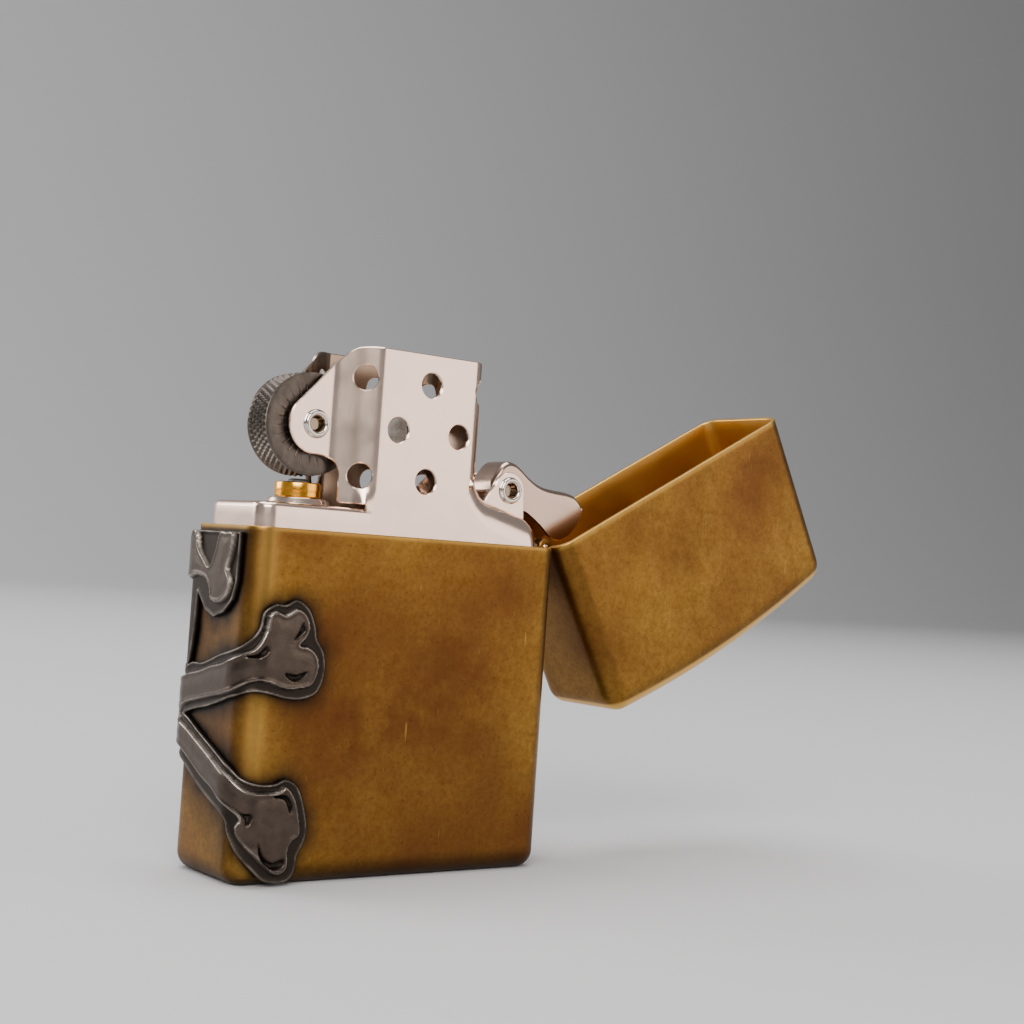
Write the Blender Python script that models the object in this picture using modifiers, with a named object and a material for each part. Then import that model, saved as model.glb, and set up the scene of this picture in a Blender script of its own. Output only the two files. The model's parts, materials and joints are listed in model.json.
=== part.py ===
"""Flip-top fluid lighter: brass case and lid, lift-out insert with chimney, wheel and cam.

Metres, +Z up. The origin is the middle of the case's base, +X points to the hinge and +Y to the
emblem's front. The lid stands fully open and the insert sits in the case.
"""

import math

import bmesh
import bpy
from mathutils import Matrix, Vector

MM = 0.001
TAU = 2 * math.pi

# Case and lid, in millimetres as every size below
CASE_LENGTH = 38.1
CASE_DEPTH = 12.9
CASE_RIM_Z = 35.1
LID_RIM_Z = 35.3
LID_TOP_Z = 57.0
LID_CROWN = 0.9
WALL = 0.6
CORNER_R = 2.2
CORNER_STEPS = 6
BASE_EDGE_R = 1.3
LID_EDGE_R = 1.6
HALF_X = CASE_LENGTH / 2
HALF_Y = CASE_DEPTH / 2

# Hinge: five knuckles on a pin, axis along Y in the plane between the rims
HINGE_X = 19.13
HINGE_Z = 35.2
LID_OPEN = math.radians(151.5)
BARREL_R = 0.95
PIN_R = 0.36
PIN_BORE_R = 0.45
KNUCKLE = 1.5
KNUCKLE_GAP = 0.12
NOTCH_HALF_Y = 4.22
NOTCH_REACH = 1.3
LEAF_X = (17.85, 18.3)
LEAF_HALF_Y = 3.9
CASE_LEAF_Z = (28.6, 33.9)
LID_LEAF_Z = (36.5, 41.6)

# Insert
INSERT_X = (-18.0, 17.5)
INSERT_HALF_Y = 5.55
INSERT_CORNER_R = 1.8
SHEET = 0.45
INSERT_BASE_Z = 1.3
DECK_Z = 37.6
DECK_EDGE_R = 0.6
ROOF_X = 8.2
ROOF_Z = 40.4
ROOF_FALL = 0.275
SHOULDER_Y = 3.0
SHOULDER_Z = 3.5
ROOF_END_R = 1.5
CHIMNEY_TOP_Z = 54.3
CHIMNEY_FOOT_Z = 36.3
CHIMNEY_X = 8.4
CHIMNEY_CORNER_R = 2.0
SLIT_Z = 38.1
BEND_X = (-9.4, -4.7)
CHEEK_Y = 2.9
CHEEK_END_X = -14.6
HOLE_R = 1.3
HOLE_PITCH_X = 7.7
HOLE_ROWS_Z = (51.1, 46.05, 41.0)
HOLE_FIRST_X = -6.5

# Spark wheel, flint and its feed
WHEEL_X = -10.9
WHEEL_Z = 45.9
WHEEL_R = 5.4
WHEEL_HALF_WIDTH = 2.0
WHEEL_BORE_R = 0.95
RIVET_R = 0.72
RIVET_BORE_R = 0.45
RIVET_HEAD_R = 1.3
RIVET_HEAD = 0.35
RIVET_HOLE_R = 0.8
FLINT_X = -10.8
FLINT_R = 1.15
FLINT_Z = (35.2, 40.3)
TUBE_BORE_R = 1.38
TUBE_R = 1.8
TUBE_COLLAR_R = 2.45
TUBE_Z = (2.9, 38.4, 39.9)
BOSS_R = 3.2
BOSS_Z = 38.3
SPRING_Z = (5.6, 33.7)
SPRING_R = 0.92
SPRING_WIRE_R = 0.2
SPRING_TURNS = 13
SCREW_HEAD_R = 2.5
SCREW_Z = (1.6, 2.7, 5.4)

# Cam lever and its ears
CAM_X = 14.3
CAM_Z = 41.1
CAM_HALF_WIDTH = 2.2
CAM_SHEET = 0.45
EAR_Y = (2.5, 3.0)
EAR_SLOT_Y = (3.0, 4.2)

# Packing
WICK_R = 1.4
WICK_X = 1.2
WICK_TOP_Z = 48.5
PAD_Z = (1.7, 3.5)

# Emblem, drawn flat: s runs round the case from the rear face's left crease, up is z
EMBLEM_GAP = 0.05
EMBLEM_BASE = 0.55
EMBLEM_RELIEF = 1.0
EMBLEM_MIRROR_S = -15.2
SLIT_DEPTH = 0.35

BRASS = ("aged_brass", (0.42, 0.26, 0.07), 0.45, 1.0)
BRIGHT_BRASS = ("bright_brass", (0.80, 0.55, 0.18), 0.25, 1.0)
NICKEL = ("nickel", (0.72, 0.68, 0.64), 0.22, 1.0)
DARK_STEEL = ("dark_steel", (0.10, 0.09, 0.08), 0.45, 1.0)
PEWTER = ("antique_pewter", (0.22, 0.20, 0.18), 0.40, 1.0)
FLINT_GREY = ("flint_grey", (0.16, 0.15, 0.15), 0.60, 0.4)
COTTON = ("cotton", (0.86, 0.84, 0.80), 0.95, 0.0)
FELT = ("felt", (0.80, 0.79, 0.76), 0.98, 0.0)


def clear_scene():
    for obj in list(bpy.data.objects):
        bpy.data.objects.remove(obj, do_unlink=True)


def new_collection(name):
    collection = bpy.data.collections.new(name)
    bpy.context.scene.collection.children.link(collection)
    return collection


clear_scene()
PARTS = new_collection("lighter")
CUTTERS = new_collection("cutters")
CUTTERS.hide_render = True


def material(finish):
    name, colour, roughness, metallic = finish
    if name in bpy.data.materials:
        return bpy.data.materials[name]
    made = bpy.data.materials.new(name)
    made.use_nodes = True
    shader = made.node_tree.nodes["Principled BSDF"]
    shader.inputs["Base Color"].default_value = (*colour, 1)
    shader.inputs["Roughness"].default_value = roughness
    shader.inputs["Metallic"].default_value = metallic
    return made


def keep(obj, finish):
    """Makes the object a finished part."""
    PARTS.objects.link(obj)
    obj.data.materials.clear()
    obj.data.materials.append(material(finish))
    if obj.type == "MESH":
        obj.data.shade_smooth()
        obj.data.set_sharp_from_angle(angle=math.radians(35))
    return obj


def as_cutter(obj):
    """Hides a helper from the render and shows it as wires."""
    CUTTERS.objects.link(obj)
    obj.hide_render = True
    obj.display_type = "WIRE"
    return obj


def object_of(name, bm):
    """An object whose mesh is the bmesh, scaled from millimetres."""
    bmesh.ops.scale(bm, vec=(MM, MM, MM), verts=bm.verts)
    bmesh.ops.recalc_face_normals(bm, faces=bm.faces)
    mesh = bpy.data.meshes.new(name)
    bm.to_mesh(mesh)
    bm.free()
    return bpy.data.objects.new(name, mesh)


def evaluated_mesh(obj):
    """The object's mesh with its modifiers applied, in place of the object."""
    bpy.context.scene.collection.objects.link(obj)
    bpy.context.view_layer.update()
    graph = bpy.context.evaluated_depsgraph_get()
    mesh = bpy.data.meshes.new_from_object(obj.evaluated_get(graph))
    bpy.context.scene.collection.objects.unlink(obj)
    return mesh


def applied(obj):
    """The same object, with its modifiers applied."""
    mesh = evaluated_mesh(obj)
    obj.modifiers.clear()
    obj.data = mesh
    return obj


def combine(obj, other, operation):
    """Boolean of two meshes, applied at once; the other mesh goes to the cutters."""
    if not other.users_collection:
        as_cutter(other)
    step = obj.modifiers.new(operation.lower(), "BOOLEAN")
    step.operation = operation
    step.object = other
    return applied(obj)


def box(name, low, high):
    bm = bmesh.new()
    bmesh.ops.create_cube(bm, size=1)
    size = Vector(high) - Vector(low)
    bmesh.ops.scale(bm, vec=size, verts=bm.verts)
    bmesh.ops.translate(bm, vec=(Vector(low) + Vector(high)) / 2, verts=bm.verts)
    return object_of(name, bm)


def rod(name, start, end, radius, sides=24):
    """A cylinder between two points."""
    start, end = Vector(start), Vector(end)
    bm = bmesh.new()
    bmesh.ops.create_cone(
        bm, cap_ends=True, segments=sides, radius1=radius, radius2=radius, depth=(end - start).length
    )
    turn = (end - start).to_track_quat("Z", "Y").to_matrix().to_4x4()
    bmesh.ops.transform(bm, matrix=Matrix.Translation((start + end) / 2) @ turn, verts=bm.verts)
    return object_of(name, bm)


def outline_mesh(name, outline, thickness, cyclic_smooth=False, resolution=3):
    """A flat outline, filled and thickened along +Z from zero, as a bmesh in millimetres."""
    curve = bpy.data.curves.new(name, "CURVE")
    curve.dimensions = "2D"
    curve.fill_mode = "BOTH"
    curve.extrude = thickness / 2
    curve.resolution_u = resolution
    spline = curve.splines.new("BEZIER" if cyclic_smooth else "POLY")
    points = spline.bezier_points if cyclic_smooth else spline.points
    points.add(len(outline) - 1)
    for point, (x, y) in zip(points, outline):
        point.co = (x, y, 0) if cyclic_smooth else (x, y, 0, 1)
        if cyclic_smooth:
            point.handle_left_type = point.handle_right_type = "AUTO"
    spline.use_cyclic_u = True
    drawn = bpy.data.objects.new(name, curve)
    mesh = evaluated_mesh(drawn)
    bm = bmesh.new()
    bm.from_mesh(mesh)
    bpy.data.objects.remove(drawn)
    bpy.data.meshes.remove(mesh)
    bmesh.ops.remove_doubles(bm, verts=bm.verts, dist=0.001)
    bmesh.ops.translate(bm, vec=(0, 0, thickness / 2), verts=bm.verts)
    bmesh.ops.recalc_face_normals(bm, faces=bm.faces)
    return bm


def profile_plate(name, outline, y_low, y_high):
    """An outline in the XZ plane, thickened along Y."""
    bm = outline_mesh(name, outline, y_high - y_low)
    stand = Matrix.Translation((0, y_high, 0)) @ Matrix.Rotation(math.pi / 2, 4, "X")
    bmesh.ops.transform(bm, matrix=stand, verts=bm.verts)
    return object_of(name, bm)


def plan_plate(name, outline, z_low, z_high):
    """An outline in the XY plane, thickened along Z."""
    bm = outline_mesh(name, outline, z_high - z_low)
    bmesh.ops.translate(bm, vec=(0, 0, z_low), verts=bm.verts)
    return object_of(name, bm)


def turned(name, profile, steps, tubular=False):
    """A profile of (radius, height) turned about Z; it runs down its outer side."""
    mesh = bpy.data.meshes.new(name)
    edges = [(i, i + 1) for i in range(len(profile) - 1)]
    if tubular:
        edges.append((len(profile) - 1, 0))
    mesh.from_pydata([(r * MM, 0, z * MM) for r, z in profile], edges, [])
    obj = bpy.data.objects.new(name, mesh)
    screw = obj.modifiers.new("turn", "SCREW")
    screw.angle = TAU
    screw.steps = screw.render_steps = steps
    screw.use_merge_vertices = True
    screw.merge_threshold = 1e-6
    return obj


def lay_along_y(obj, x, z):
    """Turns an upright turned piece so that its axis lies along Y."""
    obj.location = (x * MM, 0, z * MM)
    obj.rotation_euler = (-math.pi / 2, 0, 0)
    return obj


def arc(cx, cy, radius, start, end, steps):
    """Points on an arc, angles in degrees."""
    angles = [math.radians(start + (end - start) * i / steps) for i in range(steps + 1)]
    return [(cx + radius * math.cos(a), cy + radius * math.sin(a)) for a in angles]


def half_outline(x_low, x_high, half_y, radius, stations=()):
    """The +Y half of a rounded rectangle, from its +X end to its -X end."""
    right = arc(x_high - radius, half_y - radius, radius, 0, 90, CORNER_STEPS)
    left = arc(x_low + radius, half_y - radius, radius, 90, 180, CORNER_STEPS)
    return right + [(x, half_y) for x in stations] + left


def rounded_rectangle(x_low, x_high, half_y, radius):
    half = half_outline(x_low, x_high, half_y, radius)
    return half + [(x, -y) for x, y in reversed(half)]


def loft_shell(name, half, levels, wall):
    """Rings of an outline carried through the levels and closed at the last by strips across Y."""
    bm = bmesh.new()
    rings = []
    for place in levels:
        upper = [bm.verts.new(place(x, y)) for x, y in half]
        lower = [bm.verts.new(place(x, -y)) for x, y in half]
        rings.append(upper + lower[::-1])
    count = len(rings[0])
    for low, high in zip(rings, rings[1:]):
        for i in range(count):
            j = (i + 1) % count
            bm.faces.new((low[i], low[j], high[j], high[i]))
    last = rings[-1]
    for i in range(len(half) - 1):
        bm.faces.new((last[i], last[i + 1], last[count - 2 - i], last[count - 1 - i]))
    bmesh.ops.recalc_face_normals(bm, faces=bm.faces)
    if sum(f.normal.z for f in bm.faces) * (levels[-1](0, 0)[2] - levels[0](0, 0)[2]) < 0:
        bmesh.ops.reverse_faces(bm, faces=bm.faces)
    bmesh.ops.scale(bm, vec=(MM, MM, MM), verts=bm.verts)
    mesh = bpy.data.meshes.new(name)
    bm.to_mesh(mesh)
    bm.free()
    obj = bpy.data.objects.new(name, mesh)
    solid = obj.modifiers.new("wall", "SOLIDIFY")
    solid.thickness = wall * MM
    solid.offset = -1
    solid.use_even_offset = True
    return applied(obj)


def flat_level(z):
    """A ring of the outline at one height."""

    def place(x, y):
        return x, y, z

    return place


def brass_half(name, z_open, z_closed, edge_r, crown):
    """Case or lid: a deep-drawn cup with a rounded closed end, crowned along X."""
    stations = [HALF_X * t for t in (0.6, 0.35, 0.12, -0.12, -0.35, -0.6)]
    half = half_outline(-HALF_X, HALF_X, HALF_Y, CORNER_R, stations)
    up = 1 if z_closed > z_open else -1

    def level(turn):
        inset = edge_r * (1 - math.cos(turn))
        rise = edge_r * (1 - math.sin(turn))

        def place(x, y):
            fall = crown * (x / HALF_X) ** 2
            z = z_closed - up * (rise + fall)
            return x * (1 - inset / HALF_X), y * (1 - inset / HALF_Y), z

        return place

    turns = [math.radians(a) for a in (0, 18, 36, 54, 72, 90)]
    return loft_shell(name, half, [flat_level(z_open)] + [level(t) for t in turns], WALL)


def hinge_notch(name, z_low, z_high):
    return box(name, (HALF_X - 2 * WALL, -NOTCH_HALF_Y, z_low), (HALF_X + WALL, NOTCH_HALF_Y, z_high))


def make_case():
    case = brass_half("case_body", CASE_RIM_Z, 0.0, BASE_EDGE_R, 0.0)
    notch = hinge_notch("case_notch", HINGE_Z - NOTCH_REACH, CASE_RIM_Z + 1)
    return keep(combine(case, notch, "DIFFERENCE"), BRASS)


def make_lid():
    lid = brass_half("lid", LID_RIM_Z, LID_TOP_Z, LID_EDGE_R, LID_CROWN)
    notch = hinge_notch("lid_notch", LID_RIM_Z - 1, HINGE_Z + NOTCH_REACH)
    return keep(combine(lid, notch, "DIFFERENCE"), BRASS)


def knuckle_spans(turns):
    """The Y ranges of the chosen knuckles, of five along the pin."""
    pitch = KNUCKLE + KNUCKLE_GAP
    return [((t - 2) * pitch - KNUCKLE / 2, (t - 2) * pitch + KNUCKLE / 2) for t in turns]


def make_leaf(name, leaf_z, turns):
    """A hinge leaf: a plate inside the wall and its knuckles round the pin."""
    low, high = leaf_z
    leaf = box(name, (LEAF_X[0], -LEAF_HALF_Y, low), (LEAF_X[1], LEAF_HALF_Y, high))
    tab_low, tab_high = (low + 1, HINGE_Z) if high < HINGE_Z else (HINGE_Z, high - 1)
    for i, (y_low, y_high) in enumerate(knuckle_spans(turns)):
        tab = box(f"{name}_tab_{i}", (LEAF_X[0], y_low, tab_low), (LEAF_X[1], y_high, tab_high))
        barrel = rod(f"{name}_barrel_{i}", (HINGE_X, y_low, HINGE_Z), (HINGE_X, y_high, HINGE_Z), BARREL_R)
        leaf = combine(leaf, tab, "UNION")
        leaf = combine(leaf, barrel, "UNION")
    bore = rod(f"{name}_bore", (HINGE_X, -6, HINGE_Z), (HINGE_X, 6, HINGE_Z), PIN_BORE_R)
    return keep(combine(leaf, bore, "DIFFERENCE"), BRASS)


def make_hinge_pin():
    reach = 2.5 * KNUCKLE + 2 * KNUCKLE_GAP
    pin = rod("hinge_pin", (HINGE_X, -reach, HINGE_Z), (HINGE_X, reach, HINGE_Z), PIN_R)
    return keep(pin, NICKEL)


def moved(outline, across, up):
    """The outline shifted by two distances."""
    return [(x + across, z + up) for x, z in outline]


def smooth_step(t):
    return t * t * (3 - 2 * t)


def chimney_path():
    """Outer line of the chimney sheet in plan, -Y half: cheek, inward bend, side, corner."""
    bend = []
    for i in range(11):
        t = i / 10
        x = BEND_X[0] + (BEND_X[1] - BEND_X[0]) * t
        bend.append((x, -CHEEK_Y - (INSERT_HALF_Y - CHEEK_Y) * smooth_step(t)))
    corner = arc(
        CHIMNEY_X - CHIMNEY_CORNER_R,
        -INSERT_HALF_Y + CHIMNEY_CORNER_R,
        CHIMNEY_CORNER_R,
        -90,
        0,
        CORNER_STEPS,
    )
    return [(CHEEK_END_X, -CHEEK_Y)] + bend + corner


def offset_path(path, distance):
    """An open path moved to its left by a distance."""
    moved = []
    for i, point in enumerate(path):
        before = Vector(path[max(i - 1, 0)])
        after = Vector(path[min(i + 1, len(path) - 1)])
        along = (after - before).normalized()
        moved.append((point[0] - along.y * distance, point[1] + along.x * distance))
    return moved


def chimney_strip():
    """The chimney's sheet, a U in plan, before its side outline is cut."""
    near = chimney_path()
    path = near + [(x, -y) for x, y in reversed(near)]
    inner = offset_path(path, SHEET)
    return plan_plate("chimney_strip", path + inner[::-1], CHIMNEY_FOOT_Z, CHIMNEY_TOP_Z)


def chimney_side():
    """Side outline of the sheet: foot, slit, rounded cheek, sloping edge and top."""
    cheek = arc(WHEEL_X, WHEEL_Z, 3.1, -82, -232, 14)
    return [
        (-5.9, CHIMNEY_FOOT_Z),
        (-5.9, SLIT_Z),
        (-8.2, SLIT_Z),
        (-8.2, 41.3),
        (-8.6, 42.3),
        (-9.5, 42.7),
        *cheek,
        (-8.0, 53.6),
        (-7.2, 54.15),
        (-6.4, CHIMNEY_TOP_Z + 1),
        (CHIMNEY_X + 1, CHIMNEY_TOP_Z + 1),
        (CHIMNEY_X + 1, 38.9),
        (5.8, 38.9),
        (5.8, CHIMNEY_FOOT_Z),
    ]


def can_half():
    stations = (15.0, 13.2, 11.4, 9.6, ROOF_X + 0.3, ROOF_X - 0.7, 3.0, -3.0, -9.0, -15.0)
    return half_outline(*INSERT_X, INSERT_HALF_Y, INSERT_CORNER_R, stations)


def can_level(turn):
    """A ring of the can's top edge; past the chimney the roof is higher and rounder."""

    def place(x, y):
        roof = x > ROOF_X
        top = ROOF_Z - ROOF_FALL * (x - ROOF_X) if roof else DECK_Z
        edge_y = SHOULDER_Y if roof else DECK_EDGE_R
        edge_z = SHOULDER_Z if roof else DECK_EDGE_R
        end = ROOF_END_R if roof else DECK_EDGE_R
        pull = (1 - math.cos(turn)) * end * max(0, abs(x) - 8) / 9.5
        new_x = x - math.copysign(pull, x)
        new_y = y * (1 - edge_y * (1 - math.cos(turn)) / INSERT_HALF_Y)
        return new_x, new_y, top - edge_z * (1 - math.sin(turn))

    return place


def make_insert_shell():
    """The folded sheet: can, sloped roof, chimney, wheel cheeks and cam ears."""
    turns = [math.radians(a) for a in (0, 18, 36, 54, 72, 90)]
    levels = [flat_level(INSERT_BASE_Z)] + [can_level(t) for t in turns]
    shell = loft_shell("insert_shell", can_half(), levels, SHEET)
    strip = chimney_strip()
    side = profile_plate("chimney_side", chimney_side(), -INSERT_HALF_Y - 1, INSERT_HALF_Y + 1)
    chimney = combine(strip, side, "INTERSECT")
    shell = combine(shell, chimney, "UNION")
    boss = rod("tube_boss", (FLINT_X, 0, DECK_Z - 0.2), (FLINT_X, 0, BOSS_Z), BOSS_R)
    shell = combine(shell, boss, "UNION")
    for sign in (-1, 1):
        shell = combine(shell, ear(sign), "UNION")
    for cutter in sheet_cutters():
        shell = combine(shell, cutter, "DIFFERENCE")
    return keep(shell, NICKEL)


def ear(sign):
    """One ear of the cam bracket, rising from the roof to the cam's rivet."""
    crown = arc(CAM_X - 0.1, CAM_Z, 2.0, 5, 165, 10)
    outline = [(16.5, 37.9), (16.3, 39.6), *crown, (11.6, 40.8), (11.0, 39.9), (10.8, 39.0)]
    low, high = sorted((sign * EAR_Y[0], sign * EAR_Y[1]))
    return profile_plate(f"ear_{'near' if sign < 0 else 'far'}", outline, low, high)


def sheet_cutters():
    """Everything that is punched or drilled in the insert's sheet."""
    reach = INSERT_HALF_Y + 2
    yield rod("tube_hole", (FLINT_X, 0, 30), (FLINT_X, 0, 42), TUBE_R + 0.1)
    yield rod("wick_hole", (WICK_X, 0, 34), (WICK_X, 0, 39), WICK_R + 0.35)
    yield box("cam_slot", (10.4, -2.3, 35.5), (15.9, 2.3, 41.0))
    yield rod("spring_rivet_hole", (SPRING_RIVET_X, 0, 34), (SPRING_RIVET_X, 0, 39), 0.6)
    yield rod("wheel_rivet_hole", (WHEEL_X, -reach, WHEEL_Z), (WHEEL_X, reach, WHEEL_Z), RIVET_HOLE_R)
    yield rod("cam_rivet_hole", (CAM_X, -reach, CAM_Z), (CAM_X, reach, CAM_Z), RIVET_HOLE_R)
    for sign in (-1, 1):
        low, high = sorted((sign * EAR_SLOT_Y[0], sign * EAR_SLOT_Y[1]))
        slot = [(9.6, 39.0), (9.9, 41.5), (16.6, 39.6), (16.5, 36.2), (13.5, 36.6), (10.6, 38.0)]
        yield profile_plate(f"ear_slot_{sign}", slot, low, high)
        yield from side_holes(sign, reach)


def side_holes(sign, reach):
    """Chimney holes on one side: two in the flat, and those on the bend and the corner."""
    side = "near" if sign < 0 else "far"
    top, middle, bottom = HOLE_ROWS_Z
    flat = [(HOLE_FIRST_X + HOLE_PITCH_X, top), (HOLE_FIRST_X + HOLE_PITCH_X, bottom)]
    flat += [(HOLE_FIRST_X + HOLE_PITCH_X * t, middle) for t in (0.5, 1.5)]
    for i, (x, z) in enumerate(flat):
        yield rod(f"hole_{side}_{i}", (x, sign * 4, z), (x, sign * reach, z), HOLE_R)
    bend = math.radians(38)
    corner = math.radians(50)
    corner_x = CHIMNEY_X - CHIMNEY_CORNER_R
    corner_y = INSERT_HALF_Y - CHIMNEY_CORNER_R
    for name, z in (("top", top), ("bottom", bottom)):
        start = (HOLE_FIRST_X + 1.2 * math.sin(bend), sign * (4.4 - 1.2 * math.cos(bend)), z)
        end = (HOLE_FIRST_X - 3 * math.sin(bend), sign * (4.4 + 3 * math.cos(bend)), z)
        yield rod(f"bend_hole_{side}_{name}", start, end, HOLE_R)
        start = (corner_x, sign * corner_y, z)
        end = (corner_x + 4 * math.sin(corner), sign * (corner_y + 4 * math.cos(corner)), z)
        yield rod(f"corner_hole_{side}_{name}", start, end, HOLE_R)


def make_wheel():
    edge = 0.35
    profile = [
        (WHEEL_BORE_R, WHEEL_HALF_WIDTH),
        (WHEEL_R - edge, WHEEL_HALF_WIDTH),
        (WHEEL_R, WHEEL_HALF_WIDTH - edge),
        (WHEEL_R, edge - WHEEL_HALF_WIDTH),
        (WHEEL_R - edge, -WHEEL_HALF_WIDTH),
        (WHEEL_BORE_R, -WHEEL_HALF_WIDTH),
    ]
    return lay_along_y(keep(turned("flint_wheel", profile, 48, tubular=True), DARK_STEEL), WHEEL_X, WHEEL_Z)


def make_rivet(name, x, z, grip):
    """A tubular rivet with a rolled head on each side."""
    inner = grip + 0.05
    outer = inner + RIVET_HEAD
    profile = [
        (RIVET_BORE_R, outer),
        (RIVET_HEAD_R - 0.25, outer),
        (RIVET_HEAD_R, inner),
        (RIVET_R, inner),
        (RIVET_R, -inner),
        (RIVET_HEAD_R, -inner),
        (RIVET_HEAD_R - 0.25, -outer),
        (RIVET_BORE_R, -outer),
    ]
    return lay_along_y(keep(turned(name, profile, 20, tubular=True), NICKEL), x, z)


# Cam lever outline about its pivot, lid open: hump, dip, nose, belly and heel
CAM_OUTLINE = [
    (-2.0, 0.4),
    (-1.1, 2.0),
    (-0.4, 3.0),
    (0.4, 3.35),
    (1.4, 3.15),
    (2.3, 2.6),
    (3.2, 1.9),
    (4.4, 1.15),
    (5.6, 0.7),
    (7.3, 0.55),
    (9.3, 0.45),
    (10.5, 0.05),
    (11.2, -0.6),
    (11.1, -1.8),
    (10.6, -3.0),
    (9.5, -4.4),
    (8.1, -5.1),
    (6.8, -4.9),
    (6.1, -4.15),
    (4.3, -2.9),
    (2.9, -2.1),
    (1.0, -1.9),
    (-0.8, -1.8),
    (-1.8, -0.9),
]
# Hollow under the cam's folded top
CAM_HOLLOW = [
    (-1.3, 0.6),
    (0.3, 2.7),
    (1.8, 2.2),
    (3.0, 1.3),
    (4.3, 0.6),
    (5.6, 0.2),
    (9.1, -0.05),
    (10.4, -1.0),
    (9.9, -3.0),
    (8.6, -6.0),
    (0.0, -6.0),
    (-1.0, -3.0),
]


def make_cam():
    """The cam lever, a folded sheet with two sides and a top, hung on its rivet."""
    cam = profile_plate("cam_lever", moved(CAM_OUTLINE, CAM_X, CAM_Z), -CAM_HALF_WIDTH, CAM_HALF_WIDTH)
    inner = CAM_HALF_WIDTH - CAM_SHEET
    hollow = profile_plate("cam_hollow", moved(CAM_HOLLOW, CAM_X, CAM_Z), -inner, inner)
    cam = combine(cam, hollow, "DIFFERENCE")
    reach = CAM_HALF_WIDTH + 2
    bore = rod("cam_bore", (CAM_X, -reach, CAM_Z), (CAM_X, reach, CAM_Z), WHEEL_BORE_R)
    cam = combine(cam, bore, "DIFFERENCE")
    cam.data.transform(Matrix.Translation((-CAM_X * MM, 0, -CAM_Z * MM)))
    cam.location = (CAM_X * MM, 0, CAM_Z * MM)
    return keep(cam, NICKEL)


LEAF_SPRING = [
    (3.6, 36.75), (7.4, 36.75), (8.8, 36.95), (10.4, 37.6), (12.4, 38.45), (14.2, 38.75), (15.5, 38.5),
]
LEAF_SPRING_SHEET = 0.25
LEAF_SPRING_HALF_Y = 1.3
SPRING_RIVET_X = 5.4


def make_cam_spring():
    """Leaf spring held under the deck, its free end below the cam's heel."""
    below = offset_path(LEAF_SPRING, -LEAF_SPRING_SHEET)
    spring = profile_plate("cam_spring", LEAF_SPRING + below[::-1], -LEAF_SPRING_HALF_Y, LEAF_SPRING_HALF_Y)
    hole = rod("spring_hole", (SPRING_RIVET_X, 0, 35), (SPRING_RIVET_X, 0, 38), 0.6)
    return keep(combine(spring, hole, "DIFFERENCE"), NICKEL)


def make_spring_rivet():
    """The rivet that holds the leaf spring under the deck, with a domed head at each end."""
    low, high = 36.45, DECK_Z + 0.05
    shank_r, head_r = 0.5, 1.0
    top = [(0, high + 0.4), (head_r - 0.1, high + 0.2), (head_r, high), (shank_r, high)]
    foot = [(shank_r, low), (head_r, low), (head_r - 0.1, low - 0.3), (0, low - 0.4)]
    rivet = keep(turned("spring_rivet", top + foot, 16), NICKEL)
    rivet.location = (SPRING_RIVET_X * MM, 0, 0)
    return rivet


def on_flint_axis(obj):
    obj.location = (FLINT_X * MM, 0, 0)
    return obj


def make_flint_feed():
    """Tube, flint, spring tip, spring and screw, all on one upright axis."""
    base, shoulder, top = TUBE_Z
    tube = [
        (TUBE_BORE_R, top),
        (TUBE_COLLAR_R - 0.2, top),
        (TUBE_COLLAR_R, top - 0.2),
        (TUBE_COLLAR_R, shoulder),
        (TUBE_R, shoulder),
        (TUBE_R, base),
        (TUBE_BORE_R, base),
    ]
    on_flint_axis(keep(turned("flint_tube", tube, 24, tubular=True), BRIGHT_BRASS))
    low, high = FLINT_Z
    flint = [(0, high), (FLINT_R - 0.15, high), (FLINT_R, high - 0.15), (FLINT_R, low), (0, low)]
    on_flint_axis(keep(turned("flint", flint, 20), FLINT_GREY))
    seat = low - 0.1
    tip = [(0, seat), (1.1, seat), (1.1, seat - 1.2), (0.55, seat - 1.3), (0.55, seat - 4), (0, seat - 4.3)]
    on_flint_axis(keep(turned("spring_tip", tip, 20), BRIGHT_BRASS))
    on_flint_axis(keep(coil("flint_spring"), NICKEL))
    foot, shank, end = SCREW_Z
    head = [(0, end), (0.5, end), (0.6, end - 0.2), (0.6, shank + 1.0), (1.2, shank + 0.9), (1.2, shank)]
    head += [(SCREW_HEAD_R, shank), (SCREW_HEAD_R, foot + 0.2), (SCREW_HEAD_R - 0.2, foot), (0, foot)]
    screw = applied(turned("flint_screw", head, 24))
    screw = combine(screw, box("screw_slot", (-4, -0.35, foot - 1), (4, 0.35, foot + 0.45)), "DIFFERENCE")
    return on_flint_axis(keep(screw, BRIGHT_BRASS))


def coil(name):
    """A helix of wire between the screw and the spring tip."""
    low, high = SPRING_Z
    steps = SPRING_TURNS * 10
    curve = bpy.data.curves.new(name, "CURVE")
    curve.dimensions = "3D"
    curve.bevel_depth = SPRING_WIRE_R * MM
    curve.bevel_resolution = 1
    curve.use_fill_caps = True
    spline = curve.splines.new("POLY")
    spline.points.add(steps)
    for i, point in enumerate(spline.points):
        angle = TAU * SPRING_TURNS * i / steps
        z = low + (high - low) * i / steps
        point.co = (SPRING_R * math.cos(angle) * MM, SPRING_R * math.sin(angle) * MM, z * MM, 1)
    return bpy.data.objects.new(name, curve)


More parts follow.
